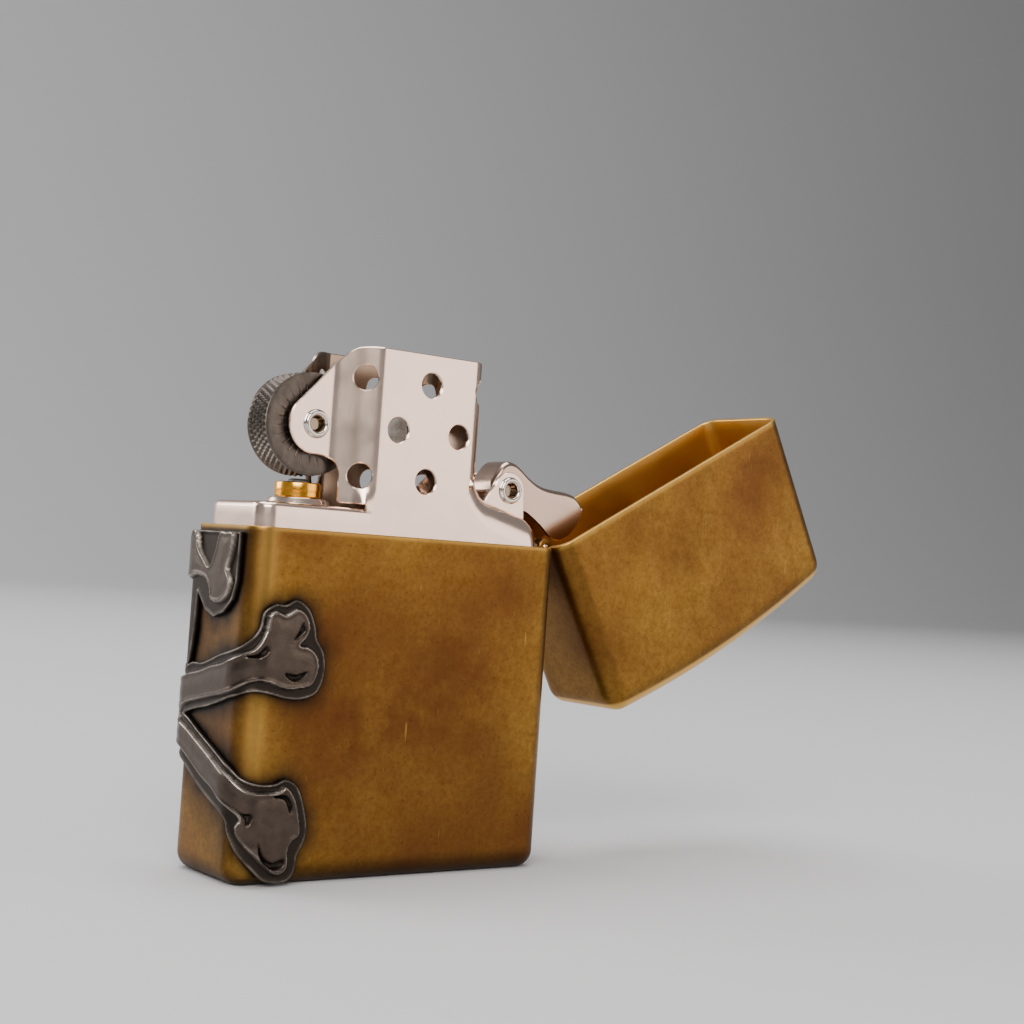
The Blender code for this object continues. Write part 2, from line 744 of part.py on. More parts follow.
def wick_route():
    """The wick: straight up through the deck, then folded between the wads below."""
    route = [(WICK_X, WICK_TOP_Z), (WICK_X, 42.0), (WICK_X, 36.0), (WICK_X, 29.0)]
    route += [(x, z) for x, z in arc(WICK_X + 3.0, 28.0, 3.0, 180, 270, 6)]
    route += [(9.0, 25.0)]
    route += arc(9.6, 20.5, 4.5, 90, -90, 12)
    route += [(4.0, 16.0), (-2.0, 16.0)]
    route += arc(-3.2, 11.9, 4.1, 90, 270, 12)
    route += [(2.0, 7.8), (10.0, 7.8)]
    return route


def make_wick():
    curve = bpy.data.curves.new("wick", "CURVE")
    curve.dimensions = "3D"
    curve.bevel_depth = WICK_R * MM
    curve.bevel_resolution = 3
    curve.use_fill_caps = True
    route = wick_route()
    spline = curve.splines.new("POLY")
    spline.points.add(len(route) - 1)
    for point, (x, z) in zip(spline.points, route):
        point.co = (x * MM, 0, z * MM, 1)
    return keep(bpy.data.objects.new("wick", curve), COTTON)


WAD_WIDTH = 9.4
WAD_EDGE = 1.4


def make_wad(name, x_low, x_high, z_low, z_high):
    """A packed cotton wad: a block with soft edges."""
    bm = bmesh.new()
    bmesh.ops.create_cube(bm, size=1)
    bmesh.ops.scale(bm, vec=(x_high - x_low, WAD_WIDTH, z_high - z_low), verts=bm.verts)
    edge = min(WAD_EDGE, (z_high - z_low) / 3)
    bmesh.ops.bevel(bm, geom=bm.edges[:], offset=edge, segments=3, profile=0.5, affect="EDGES")
    bmesh.ops.translate(bm, vec=((x_low + x_high) / 2, 0, (z_low + z_high) / 2), verts=bm.verts)
    return keep(object_of(name, bm), COTTON)


def make_packing():
    """The wick, the five wads round it and the felt pad that closes the tank."""
    make_wick()
    make_wad("cotton_wad_1", -8.4, -0.8, 19.2, 35.8)
    make_wad("cotton_wad_2", 3.9, 16.4, 27.4, 35.8)
    make_wad("cotton_wad_3", 1.2, 12.0, 17.9, 23.1)
    make_wad("cotton_wad_4", -5.0, 16.4, 9.8, 14.1)
    make_wad("cotton_wad_5", -8.4, 16.4, 3.8, 6.0)
    pad = plan_plate("felt_pad", rounded_rectangle(-17.3, 16.8, 4.85, 1.4), *PAD_Z)
    hole = rod("pad_hole", (FLINT_X, 0, 0), (FLINT_X, 0, 5), SCREW_HEAD_R + 0.5)
    keep(combine(pad, hole, "DIFFERENCE"), FELT)


# Emblem outlines, (s, z): the arms on the rear face and the narrow side, drawn once and mirrored
UPPER_ARM = [
    (-16.5, 17.0), (-12.2, 20.7), (-9.0, 21.2), (-5.6, 22.3), (-3.0, 23.0), (-1.6, 24.0), (-0.9, 25.2),
    (-0.6, 26.8), (0.5, 27.6), (1.7, 27.6), (2.9, 28.1), (4.3, 27.2), (5.1, 25.6), (5.4, 24.3), (6.3, 22.9),
    (6.5, 21.0), (5.8, 19.1), (4.2, 18.4), (2.4, 18.4), (0.6, 18.8), (-1.1, 19.0), (-3.3, 18.2),
    (-7.3, 17.0), (-12.2, 15.8), (-16.5, 13.0),
]
UPPER_RELIEF = [
    (-16.5, 17.5), (-12.0, 19.7), (-9.0, 20.4), (-6.6, 21.1), (-4.2, 21.6), (-1.9, 22.7), (-1.0, 23.4),
    (-0.4, 25.0), (-0.2, 26.5), (0.6, 26.9), (1.6, 26.6), (2.9, 27.2), (3.9, 26.6), (4.3, 25.4),
    (3.9, 24.4), (3.3, 23.7), (4.3, 23.5), (5.2, 22.9), (5.6, 21.7), (5.2, 20.2), (4.4, 19.6),
    (2.1, 19.4), (0.2, 20.0), (-1.2, 20.0), (-3.5, 18.7), (-8.6, 17.6), (-12.2, 16.7), (-16.5, 14.2),
]
LOWER_ARM = [
    (-16.5, 16.5), (-12.6, 15.8), (-11.2, 15.4), (-9.0, 14.4), (-5.6, 13.0), (-2.9, 11.8), (-1.4, 10.6),
    (0.1, 10.1), (1.8, 10.1), (3.0, 10.5), (4.3, 9.8), (5.1, 8.2), (5.7, 5.8), (5.5, 4.4), (4.8, 3.0),
    (4.6, 1.5), (3.9, 0.6), (2.5, 0.4), (0.8, 0.9), (-1.3, 3.1), (-2.4, 5.2), (-2.9, 6.7),
    (-4.8, 7.6), (-8.2, 9.0), (-12.6, 11.4), (-16.5, 13.5),
]
LOWER_RELIEF = [
    (-16.5, 16.0), (-11.6, 14.7), (-9.0, 13.7), (-5.2, 12.1), (-2.6, 10.8), (-0.8, 9.4), (1.2, 9.3),
    (2.3, 9.4), (3.0, 9.8), (3.9, 8.8), (4.5, 6.9), (4.7, 5.1), (3.9, 4.5), (3.5, 3.6), (3.5, 1.9),
    (2.5, 1.3), (1.3, 2.0), (-0.8, 4.0), (-1.7, 5.6), (-1.4, 6.7), (-2.2, 7.6), (-4.7, 9.2), (-7.4, 10.2),
    (-11.8, 12.3), (-16.5, 14.2),
]
TOP_FORK = [
    (-14.6, 34.4), (-12.4, 34.4), (-10.9, 34.4), (-3.2, 34.4), (-3.2, 32.0), (-3.3, 29.5), (-4.0, 27.7),
    (-5.6, 26.4), (-7.6, 25.8), (-9.4, 26.4), (-11.2, 28.2), (-11.4, 24.4), (-12.0, 21.0), (-14.6, 19.0),
]
TOP_FORK_RELIEF = [
    (-13.4, 32.4), (-12.5, 34.3), (-11.6, 34.2), (-11.0, 32.6), (-9.7, 31.5), (-8.5, 30.8), (-7.5, 32.2),
    (-6.7, 34.2), (-5.4, 34.3), (-4.0, 34.2), (-4.3, 32.2), (-4.9, 30.8), (-4.2, 29.8), (-4.2, 28.8),
    (-5.1, 27.8), (-6.5, 27.3), (-7.8, 27.6), (-8.2, 28.7), (-9.2, 29.6), (-11.4, 29.9), (-13.2, 29.6),
]
SKULL = [
    (-19.4, 21.6), (-18.2, 24.6), (-18.2, 28.4), (-20.4, 31.8), (-24.0, 33.6), (-28.0, 33.6), (-31.6, 31.8),
    (-33.8, 28.4), (-33.8, 24.6), (-32.6, 21.6), (-30.2, 20.2), (-29.6, 16.8), (-26.0, 15.8), (-22.4, 16.8),
    (-21.8, 20.2),
]
EYE = [(-20.9, 24.6), (-21.4, 26.9), (-23.6, 27.1), (-25.0, 25.2), (-23.8, 23.3), (-21.8, 23.1)]
NOSE = [(-26.0, 23.6), (-27.0, 21.3), (-25.0, 21.3)]
# Engraved lines on the knuckle ends of the bones
ENGRAVINGS = [
    [(-1.8, 22.4), (-0.9, 22.7), (-0.3, 23.5), (-0.1, 23.0), (-0.7, 22.4)],
    [(1.8, 20.9), (3.1, 20.8), (4.3, 21.1), (3.7, 20.4), (2.7, 20.2)],
    [(3.5, 25.9), (3.0, 24.9), (2.6, 24.2), (3.2, 24.6), (3.7, 25.2)],
    [(-1.9, 7.9), (-1.2, 7.3), (-0.5, 7.2), (-0.8, 6.1), (-1.1, 6.9)],
    [(0.2, 4.4), (0.8, 3.2), (1.8, 2.5), (3.1, 2.8), (3.0, 2.0), (1.7, 1.9), (0.5, 3.0)],
    [(1.5, 8.9), (2.8, 8.6), (3.5, 7.3), (3.7, 8.1), (2.9, 9.0)],
]


def mirrored(outline):
    return [(2 * EMBLEM_MIRROR_S - s, z) for s, z in outline]


def flat_plate(name, outline, low, high, smooth=True):
    """A plate of the emblem while it is still flat: x is s, y is z and z is the height."""
    bm = outline_mesh(name, outline, high - low, cyclic_smooth=smooth, resolution=2)
    bmesh.ops.translate(bm, vec=(0, 0, low), verts=bm.verts)
    return object_of(name, bm)


def wrap_point(s, z, height):
    """A point of the flat emblem laid on the case: rear face, narrow side or front face."""
    quarter = CORNER_R * math.pi / 2
    side = CASE_DEPTH - 2 * CORNER_R
    near_x = CORNER_R - HALF_X
    near_y = CORNER_R - HALF_Y
    if s >= 0:
        return near_x + s, -HALF_Y - height, z
    if s > -quarter:
        a = -s / CORNER_R
        r = CORNER_R + height
        return near_x - r * math.sin(a), near_y - r * math.cos(a), z
    if s > -quarter - side:
        return -HALF_X - height, near_y - (s + quarter), z
    if s > -2 * quarter - side:
        a = -(s + quarter + side) / CORNER_R
        r = CORNER_R + height
        return near_x - r * math.cos(a), -near_y + r * math.sin(a), z
    return near_x - (s + 2 * quarter + side), HALF_Y + height, z


def wrap(obj):
    """Cuts the flat emblem along the corner's bend lines and lays it round the case."""
    quarter = CORNER_R * math.pi / 2
    side = CASE_DEPTH - 2 * CORNER_R
    bm = bmesh.new()
    bm.from_mesh(obj.data)
    for start in (0, -quarter - side):
        for i in range(CORNER_STEPS + 1):
            s = start - quarter * i / CORNER_STEPS
            geometry = bm.verts[:] + bm.edges[:] + bm.faces[:]
            bend = (s * MM, 0, 0)
            bmesh.ops.bisect_plane(bm, geom=geometry, plane_co=bend, plane_no=(1, 0, 0), dist=1e-8)
    bmesh.ops.triangulate(bm, faces=bm.faces)
    for vert in bm.verts:
        s, z, height = (c / MM for c in vert.co)
        vert.co = [c * MM for c in wrap_point(s, z, height)]
    bmesh.ops.recalc_face_normals(bm, faces=bm.faces)
    bm.to_mesh(obj.data)
    bm.free()
    return obj


def make_emblem():
    """A cast plate with a raised relief on it: crossed bones, a fork at the rim and a skull in front."""
    emblem = flat_plate("emblem", UPPER_ARM, EMBLEM_GAP, EMBLEM_BASE)
    plates = [LOWER_ARM, mirrored(UPPER_ARM), mirrored(LOWER_ARM), SKULL]
    for i, outline in enumerate(plates):
        emblem = combine(emblem, flat_plate(f"plate_{i}", outline, EMBLEM_GAP, EMBLEM_BASE), "UNION")
    fork = flat_plate("plate_fork", TOP_FORK, EMBLEM_GAP, EMBLEM_BASE, smooth=False)
    emblem = combine(emblem, fork, "UNION")
    inner_skull = [(-26 + (s + 26) * 0.9, 25 + (z - 25) * 0.9) for s, z in SKULL]
    reliefs = [UPPER_RELIEF, LOWER_RELIEF, mirrored(UPPER_RELIEF), mirrored(LOWER_RELIEF)]
    reliefs += [TOP_FORK_RELIEF, inner_skull]
    for i, outline in enumerate(reliefs):
        relief = flat_plate(f"relief_{i}", outline, EMBLEM_BASE - 0.2, EMBLEM_RELIEF)
        emblem = combine(emblem, relief, "UNION")
    other_eye = [(-52 - s, z) for s, z in EYE]
    cuts = ENGRAVINGS + [mirrored(line) for line in ENGRAVINGS] + [EYE, other_eye, NOSE]
    for i, outline in enumerate(cuts):
        floor = EMBLEM_RELIEF - SLIT_DEPTH
        cut = flat_plate(f"engraving_{i}", outline, floor, EMBLEM_RELIEF + 1, smooth=False)
        emblem = combine(emblem, cut, "DIFFERENCE")
    return keep(wrap(emblem), PEWTER)


def open_lid(pieces):
    """Hangs the lid's pieces on the hinge axis and turns them to the open stop."""
    axis = bpy.data.objects.new("lid_axis", None)
    axis.location = (HINGE_X * MM, 0, HINGE_Z * MM)
    PARTS.objects.link(axis)
    for piece in pieces:
        piece.data.transform(Matrix.Translation((-HINGE_X * MM, 0, -HINGE_Z * MM)))
        piece.parent = axis
    axis.rotation_euler = (0, LID_OPEN, 0)


make_case()
make_leaf("case_hinge_leaf", CASE_LEAF_Z, (0, 2, 4))
make_hinge_pin()
open_lid([make_lid(), make_leaf("lid_hinge_leaf", LID_LEAF_Z, (1, 3))])
make_emblem()
make_insert_shell()
make_wheel()
make_rivet("wheel_rivet", WHEEL_X, WHEEL_Z, CHEEK_Y)
make_cam()
make_rivet("cam_rivet", CAM_X, CAM_Z, EAR_Y[1])
make_cam_spring()
make_spring_rivet()
make_flint_feed()
make_packing()
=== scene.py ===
"""The looks of a flip-top fluid lighter in aged brass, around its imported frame.

Shapes are worked out in millimetres and written to the meshes in metres. Each sub-assembly is a
class that builds its pieces and dresses them; each finish is a small class that builds a material.
"""
import json
import logging
import math
from collections.abc import Callable, Sequence
from dataclasses import dataclass, field
from enum import Enum

import bmesh
import bpy
import numpy as np
from mathutils import Matrix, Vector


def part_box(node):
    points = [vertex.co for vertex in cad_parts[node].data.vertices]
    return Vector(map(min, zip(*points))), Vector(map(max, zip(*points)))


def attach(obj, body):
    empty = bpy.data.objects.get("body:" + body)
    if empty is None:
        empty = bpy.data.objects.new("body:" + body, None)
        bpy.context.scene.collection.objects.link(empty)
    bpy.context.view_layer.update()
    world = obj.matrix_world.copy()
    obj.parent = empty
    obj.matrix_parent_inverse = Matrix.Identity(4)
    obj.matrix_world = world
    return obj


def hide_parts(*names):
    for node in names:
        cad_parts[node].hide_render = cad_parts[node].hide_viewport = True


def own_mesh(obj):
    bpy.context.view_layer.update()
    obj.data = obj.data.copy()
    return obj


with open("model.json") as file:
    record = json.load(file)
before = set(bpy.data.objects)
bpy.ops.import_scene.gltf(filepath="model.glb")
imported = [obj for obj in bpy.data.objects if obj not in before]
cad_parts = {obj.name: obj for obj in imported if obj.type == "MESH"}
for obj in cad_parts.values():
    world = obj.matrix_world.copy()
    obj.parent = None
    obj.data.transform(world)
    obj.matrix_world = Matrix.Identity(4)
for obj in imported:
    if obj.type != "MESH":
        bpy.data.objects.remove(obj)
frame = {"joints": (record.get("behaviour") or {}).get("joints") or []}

Array = np.ndarray
Piece = bpy.types.Object
Socket = bpy.types.NodeSocket
Material = bpy.types.Material
Colour = tuple[float, float, float]
Point = tuple[float, float]
Place = tuple[float, float, float]
Field = Callable[[Array, Array], Array]
Layer = Callable[[Array, Array, Array], Array]

LOG = logging.getLogger("lighter")
MM = 0.001
TAU = 2 * math.pi
SMOOTH_ANGLE = math.radians(32)
# Points closer than this are one point, in millimetres
WELD = 1e-4
# A grid point counts as inside when it lies at most this share of a step outside
RIM_SHARE = 0.35
# The least squared slope that a rim point is moved along
LEAST_SLOPE = 0.3
# The colour sockets of a Mix node
MIX_A, MIX_B, MIX_RESULT = 6, 7, 2


class Axis(Enum):
    """The direction that a turned piece's own axis takes."""

    UP = "up"
    ALONG_Y = "along y"


# ---- places from the frame


@dataclass(frozen=True)
class Layout:
    """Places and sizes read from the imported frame, in millimetres.

    Attributes:
        open_angle: how far the lid stands open, in radians.
        lid_height: the lid's own height, the one size that isn't read.
    """

    case_half_x: float
    case_half_y: float
    case_rim: float
    hinge_x: float
    hinge_z: float
    open_angle: float
    insert_x: Point
    insert_half_y: float
    insert_base: float
    chimney_top: float
    wheel_x: float
    wheel_z: float
    wheel_r: float
    wheel_half: float
    cam_x: float
    cam_z: float
    cam_half: float
    flint_x: float
    lid_height: float = 22.5

    @staticmethod
    def read() -> "Layout":
        """Reads the joints and the nodes' boxes.

        Returns:
            The layout, with every length in millimetres and the angle in radians.
        """
        joints = {joint["name"]: joint for joint in frame["joints"]}

        def place(joint: str) -> Array:
            """Where the joint's axis stands, in millimetres."""
            return np.array(joints[joint]["pos_m"]) / MM

        def corners(node: str) -> tuple[Array, Array]:
            """The low and high corners of the node's box, in millimetres."""
            low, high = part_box(node)
            return np.array(low) / MM, np.array(high) / MM

        case_low, case_high = corners("case_body")
        insert_low, insert_high = corners("insert_shell")
        wheel_low, wheel_high = corners("flint_wheel")
        flint_low, flint_high = corners("flint")
        cam_high = corners("cam_lever")[1]
        return Layout(
            case_half_x=case_high[0],
            case_half_y=case_high[1],
            case_rim=case_high[2],
            hinge_x=place("lid_hinge")[0],
            hinge_z=place("lid_hinge")[2],
            open_angle=-math.radians(joints["lid_hinge"]["range_deg"][0]),
            insert_x=(insert_low[0], insert_high[0]),
            insert_half_y=insert_high[1],
            insert_base=insert_low[2],
            chimney_top=insert_high[2],
            wheel_x=place("wheel_spin")[0],
            wheel_z=place("wheel_spin")[2],
            wheel_r=(wheel_high[2] - wheel_low[2]) / 2,
            wheel_half=wheel_high[1],
            cam_x=place("cam_pivot")[0],
            cam_z=place("cam_pivot")[2],
            cam_half=cam_high[1],
            flint_x=(flint_low[0] + flint_high[0]) / 2,
        )


# ---- numbers and curves


def smooth_step(value: Array | float) -> Array:
    """Rises from 0 to 1 with level ends: t * t * (3 - 2t), held outside 0..1."""
    t = np.clip(value, 0, 1)
    return t * t * (3 - 2 * t)


def arc(centre: Point, radius: float, start: float, end: float, steps: int) -> list[Point]:
    """Points on an arc, angles in degrees."""
    turn = np.radians(np.linspace(start, end, steps + 1))
    return [(centre[0] + radius * math.cos(a), centre[1] + radius * math.sin(a)) for a in turn]


def rounded_corners(points: Sequence[Point], radius: float, steps: int = 4) -> list[Point]:
    """Cuts each inner corner of an open line with a quadratic curve that starts radius before it.

    Args:
        points: the line's points.
        radius: how far from the corner the curve starts, at most 45% of each side.
        steps: the curve's segments.

    Returns:
        The line with rounded corners, ends unchanged.
    """
    line = np.array(points, float)
    out = [line[0]]
    for before, corner, after in zip(line, line[1:], line[2:]):
        cut = min(radius, 0.45 * np.linalg.norm(corner - before), 0.45 * np.linalg.norm(after - corner))
        first = corner + (before - corner) / np.linalg.norm(before - corner) * cut
        last = corner + (after - corner) / np.linalg.norm(after - corner) * cut
        t = np.linspace(0, 1, steps + 1)[:, None]
        out += list((1 - t) ** 2 * first + 2 * t * (1 - t) * corner + t**2 * last)
    out.append(line[-1])
    return [tuple(p) for p in out]


def along(line: Array) -> Array:
    """The distance along a line to each of its points."""
    return np.concatenate([[0], np.cumsum(np.linalg.norm(np.diff(line, axis=0), axis=1))])


def evenly(line: Array, count: int) -> Array:
    """A plane line's points, spaced evenly along it."""
    run = along(line)
    return np.stack([np.interp(np.linspace(0, run[-1], count), run, line[:, k]) for k in (0, 1)], -1)


def closed_curve(points: Sequence[Point], steps: int = 5) -> Array:
    """A Catmull-Rom curve through the points and back to the first.

    Args:
        points: the outline's points, in order.
        steps: samples for each span.

    Returns:
        An (n, 2) array round the curve.
    """
    p = np.array(points, float)
    p0, p1, p2, p3 = (np.roll(p, shift, axis=0)[:, None] for shift in (1, 0, -1, -2))
    t = np.linspace(0, 1, steps, endpoint=False)[None, :, None]
    curve = 0.5 * (
        2 * p1 + (p2 - p0) * t + (2 * p0 - 5 * p1 + 4 * p2 - p3) * t**2 + (3 * p1 - p0 - 3 * p2 + p3) * t**3
    )
    return curve.reshape(-1, 2)


def depth_inside(u: Array, v: Array, outline: Array, reach: float = 4.0) -> Array:
    """How deep each point lies inside a closed outline, negative outside.

    The distance is the least over the outline's segments, and its sign comes from how many segments
    a level ray crosses. Points further than reach from the outline's box get the box's distance.

    Args:
        u, v: the coordinates, in one shape.
        outline: an (n, 2) closed line.
        reach: how far outside the box the exact distance is worked out.

    Returns:
        The signed depths, in the shape of u.
    """
    low, high = outline.min(0), outline.max(0)
    away_u = np.maximum(np.maximum(low[0] - u, u - high[0]), 0)
    away_v = np.maximum(np.maximum(low[1] - v, v - high[1]), 0)
    away = np.hypot(away_u, away_v)
    depth = -away - 1e-3
    near = away < reach
    x, y = u[near], v[near]
    best = np.full(x.shape, np.inf)
    crossings = np.zeros(x.shape, int)
    for (ax, ay), (bx, by) in zip(outline, np.roll(outline, -1, axis=0)):
        dx, dy = bx - ax, by - ay
        length = dx * dx + dy * dy
        t = np.clip(((x - ax) * dx + (y - ay) * dy) / max(length, 1e-12), 0, 1)
        best = np.minimum(best, (x - ax - t * dx) ** 2 + (y - ay - t * dy) ** 2)
        if ay != by:
            crossings += ((ay > y) != (by > y)) & (x < ax + dx * (y - ay) / dy)
    depth[near] = np.sqrt(best) * np.where(crossings % 2 == 1, 1, -1)
    return depth


# ---- meshes


def mesh_piece(name: str, points: Array, faces: Array, smooth: float = SMOOTH_ANGLE) -> Piece:
    """A mesh object from whole arrays, welded and with its faces pointing out.

    Args:
        name: the piece's name.
        points: (n, 3) points in millimetres.
        faces: (m, 4) corner numbers.
        smooth: edges sharper than this angle stay sharp.

    Returns:
        The object, linked to the scene.
    """
    mesh = bpy.data.meshes.new(name)
    mesh.vertices.add(len(points))
    mesh.vertices.foreach_set("co", (points * MM).astype(np.float32).ravel())
    mesh.loops.add(faces.size)
    mesh.loops.foreach_set("vertex_index", faces.astype(np.int32).ravel())
    mesh.polygons.add(len(faces))
    mesh.polygons.foreach_set("loop_start", np.arange(0, faces.size, faces.shape[1], dtype=np.int32))
    mesh.update(calc_edges=True)
    obj = bpy.data.objects.new(name, mesh)
    bpy.context.scene.collection.objects.link(obj)
    return tidied(obj, smooth)


def tidied(obj: Piece, smooth: float = SMOOTH_ANGLE) -> Piece:
    """Welds points that are one, turns the faces outwards and shades them smoothly.

    Args:
        obj: the piece.
        smooth: edges sharper than this angle stay sharp.

    Returns:
        The same piece.
    """
    bm = bmesh.new()
    bm.from_mesh(obj.data)
    bmesh.ops.remove_doubles(bm, verts=bm.verts, dist=WELD * MM)
    bmesh.ops.recalc_face_normals(bm, faces=bm.faces)
    if bm.calc_volume(signed=True) < 0:
        bmesh.ops.reverse_faces(bm, faces=bm.faces)
    bm.to_mesh(obj.data)
    bm.free()
    obj.data.shade_smooth()
    obj.data.set_sharp_from_angle(angle=smooth)
    return obj


def applied(obj: Piece) -> Piece:
    """Replaces the mesh by what the modifiers make of it.

    Args:
        obj: the piece with its modifiers.

    Returns:
        The same piece, with no modifiers left.
    """
    bpy.context.view_layer.update()
    graph = bpy.context.evaluated_depsgraph_get()
    mesh = bpy.data.meshes.new_from_object(obj.evaluated_get(graph))
    obj.modifiers.clear()
    obj.data = mesh
    return obj


def thickened(obj: Piece, thickness: float) -> Piece:
    """Gives an open surface a wall, inwards from its faces.

    Args:
        obj: the open surface.
        thickness: of the wall, in millimetres.

    Returns:
        The same piece, closed.
    """
    wall = obj.modifiers.new("wall", "SOLIDIFY")
    wall.thickness = thickness * MM
    wall.offset = -1
    wall.use_even_offset = True
    return applied(obj)


def cut(obj: Piece, cutters: Sequence[Piece]) -> Piece:
    """Cuts each tool out of the piece and removes the tool.

    Args:
        obj: the piece.
        cutters: the tools, which are used up.

    Returns:
        The same piece.
    """
    for tool in cutters:
        step = obj.modifiers.new("cut", "BOOLEAN")
        step.operation = "DIFFERENCE"
        step.object = tool
        applied(obj)
        bpy.data.objects.remove(tool)
    obj.data.shade_smooth()
    obj.data.set_sharp_from_angle(angle=SMOOTH_ANGLE)
    return obj


def grid_faces(rows: int, columns: int, ring: bool = False, tube: bool = False) -> Array:
    """Corner numbers of a grid's faces: a point, the next in its row, and the two below.

    Args:
        rows, columns: points down and along the grid.
        ring: whether each row closes on itself.
        tube: whether the last row joins the first.

    Returns:
        (n, 4) corner numbers.
    """
    i, j = np.meshgrid(
        np.arange(rows if tube else rows - 1), np.arange(columns if ring else columns - 1), indexing="ij"
    )
    below = (i + 1) % rows
    right = (j + 1) % columns
    quads = np.stack([i * columns + j, i * columns + right, below * columns + right, below * columns + j], -1)
    return quads.reshape(-1, 4)


def block(name: str, low: Sequence[float], high: Sequence[float]) -> Piece:
    """A box between two corners, used for cutting.

    Args:
        name: the piece's name.
        low, high: its low and high corners, in millimetres.

    Returns:
        The box.
    """
    corners = np.array([[x, y, z] for x in (0, 1) for y in (0, 1) for z in (0, 1)])
    points = np.array(low) + corners * (np.array(high) - np.array(low))
    faces = [[0, 1, 3, 2], [4, 6, 7, 5], [0, 4, 5, 1], [2, 3, 7, 6], [0, 2, 6, 4], [1, 5, 7, 3]]
    return mesh_piece(name, points, np.array(faces))


def lathe(
    name: str,
    profile: Sequence[Point],
    centre: Sequence[float],
    axis: Axis = Axis.UP,
    steps: int = 96,
    tube: bool = False,
    swell: Field | None = None,
) -> Piece:
    """A profile of (radius, height) carried round its axis.

    Point (i, j) is (r_i cos a_j, r_i sin a_j, h_i), with r_i changed by swell(height, angle).

    Args:
        name: the piece's name.
        profile: (radius, height) pairs.
        centre: where height 0 of the axis is.
        axis: the axis's direction.
        steps: columns round the axis.
        tube: whether the profile closes on itself.
        swell: extra radius as a function of height and angle, or None.

    Returns:
        The turned piece.
    """
    radius, height = np.array(profile, float).T
    angle = np.linspace(0, TAU, steps, endpoint=False)
    r = np.repeat(radius[:, None], steps, 1)
    h = np.repeat(height[:, None], steps, 1)
    a = np.repeat(angle[None, :], len(radius), 0)
    if swell is not None:
        r = r + swell(h, a) * (r > 1e-9)
    if axis is Axis.UP:
        points = np.stack([r * np.cos(a), r * np.sin(a), h], -1)
    else:
        points = np.stack([r * np.cos(a), h, r * np.sin(a)], -1)
    points = points.reshape(-1, 3) + np.array(centre)
    return mesh_piece(name, points, grid_faces(len(radius), steps, ring=True, tube=tube))


def swept(
    name: str, path: Array, radius: float, sides: int = 12, lumps: Field | None = None
) -> Piece:
    """A round section carried along a path in the XZ plane or in space.

    Each ring stands square to the path: its frame is the path's direction, the Y axis made square to
    it, and their cross product. The ends are closed by shrinking the last rings to a point.

    Args:
        name: the piece's name.
        path: (n, 3) points.
        radius: the section's radius.
        sides: columns round the section.
        lumps: extra radius as a function of length along the path and angle, or None.

    Returns:
        The closed tube.
    """
    ahead = np.gradient(path, axis=0)
    ahead /= np.linalg.norm(ahead, axis=1, keepdims=True)
    side = np.cross(ahead, [0.0, 1.0, 0.0])
    side /= np.linalg.norm(side, axis=1, keepdims=True)
    other = np.cross(side, ahead)
    angle = np.linspace(0, TAU, sides, endpoint=False)
    r = np.full((len(path), sides), radius)
    if lumps is not None:
        r = r + lumps(along(path)[:, None], angle[None, :])
    rings = (
        path[:, None]
        + (r * np.cos(angle))[..., None] * side[:, None]
        + (r * np.sin(angle))[..., None] * other[:, None]
    )
    ends = [np.repeat(path[:1, None], sides, 1), rings, np.repeat(path[-1:, None], sides, 1)]
    points = np.concatenate(ends).reshape(-1, 3)
    return mesh_piece(name, points, grid_faces(len(path) + 2, sides, ring=True))


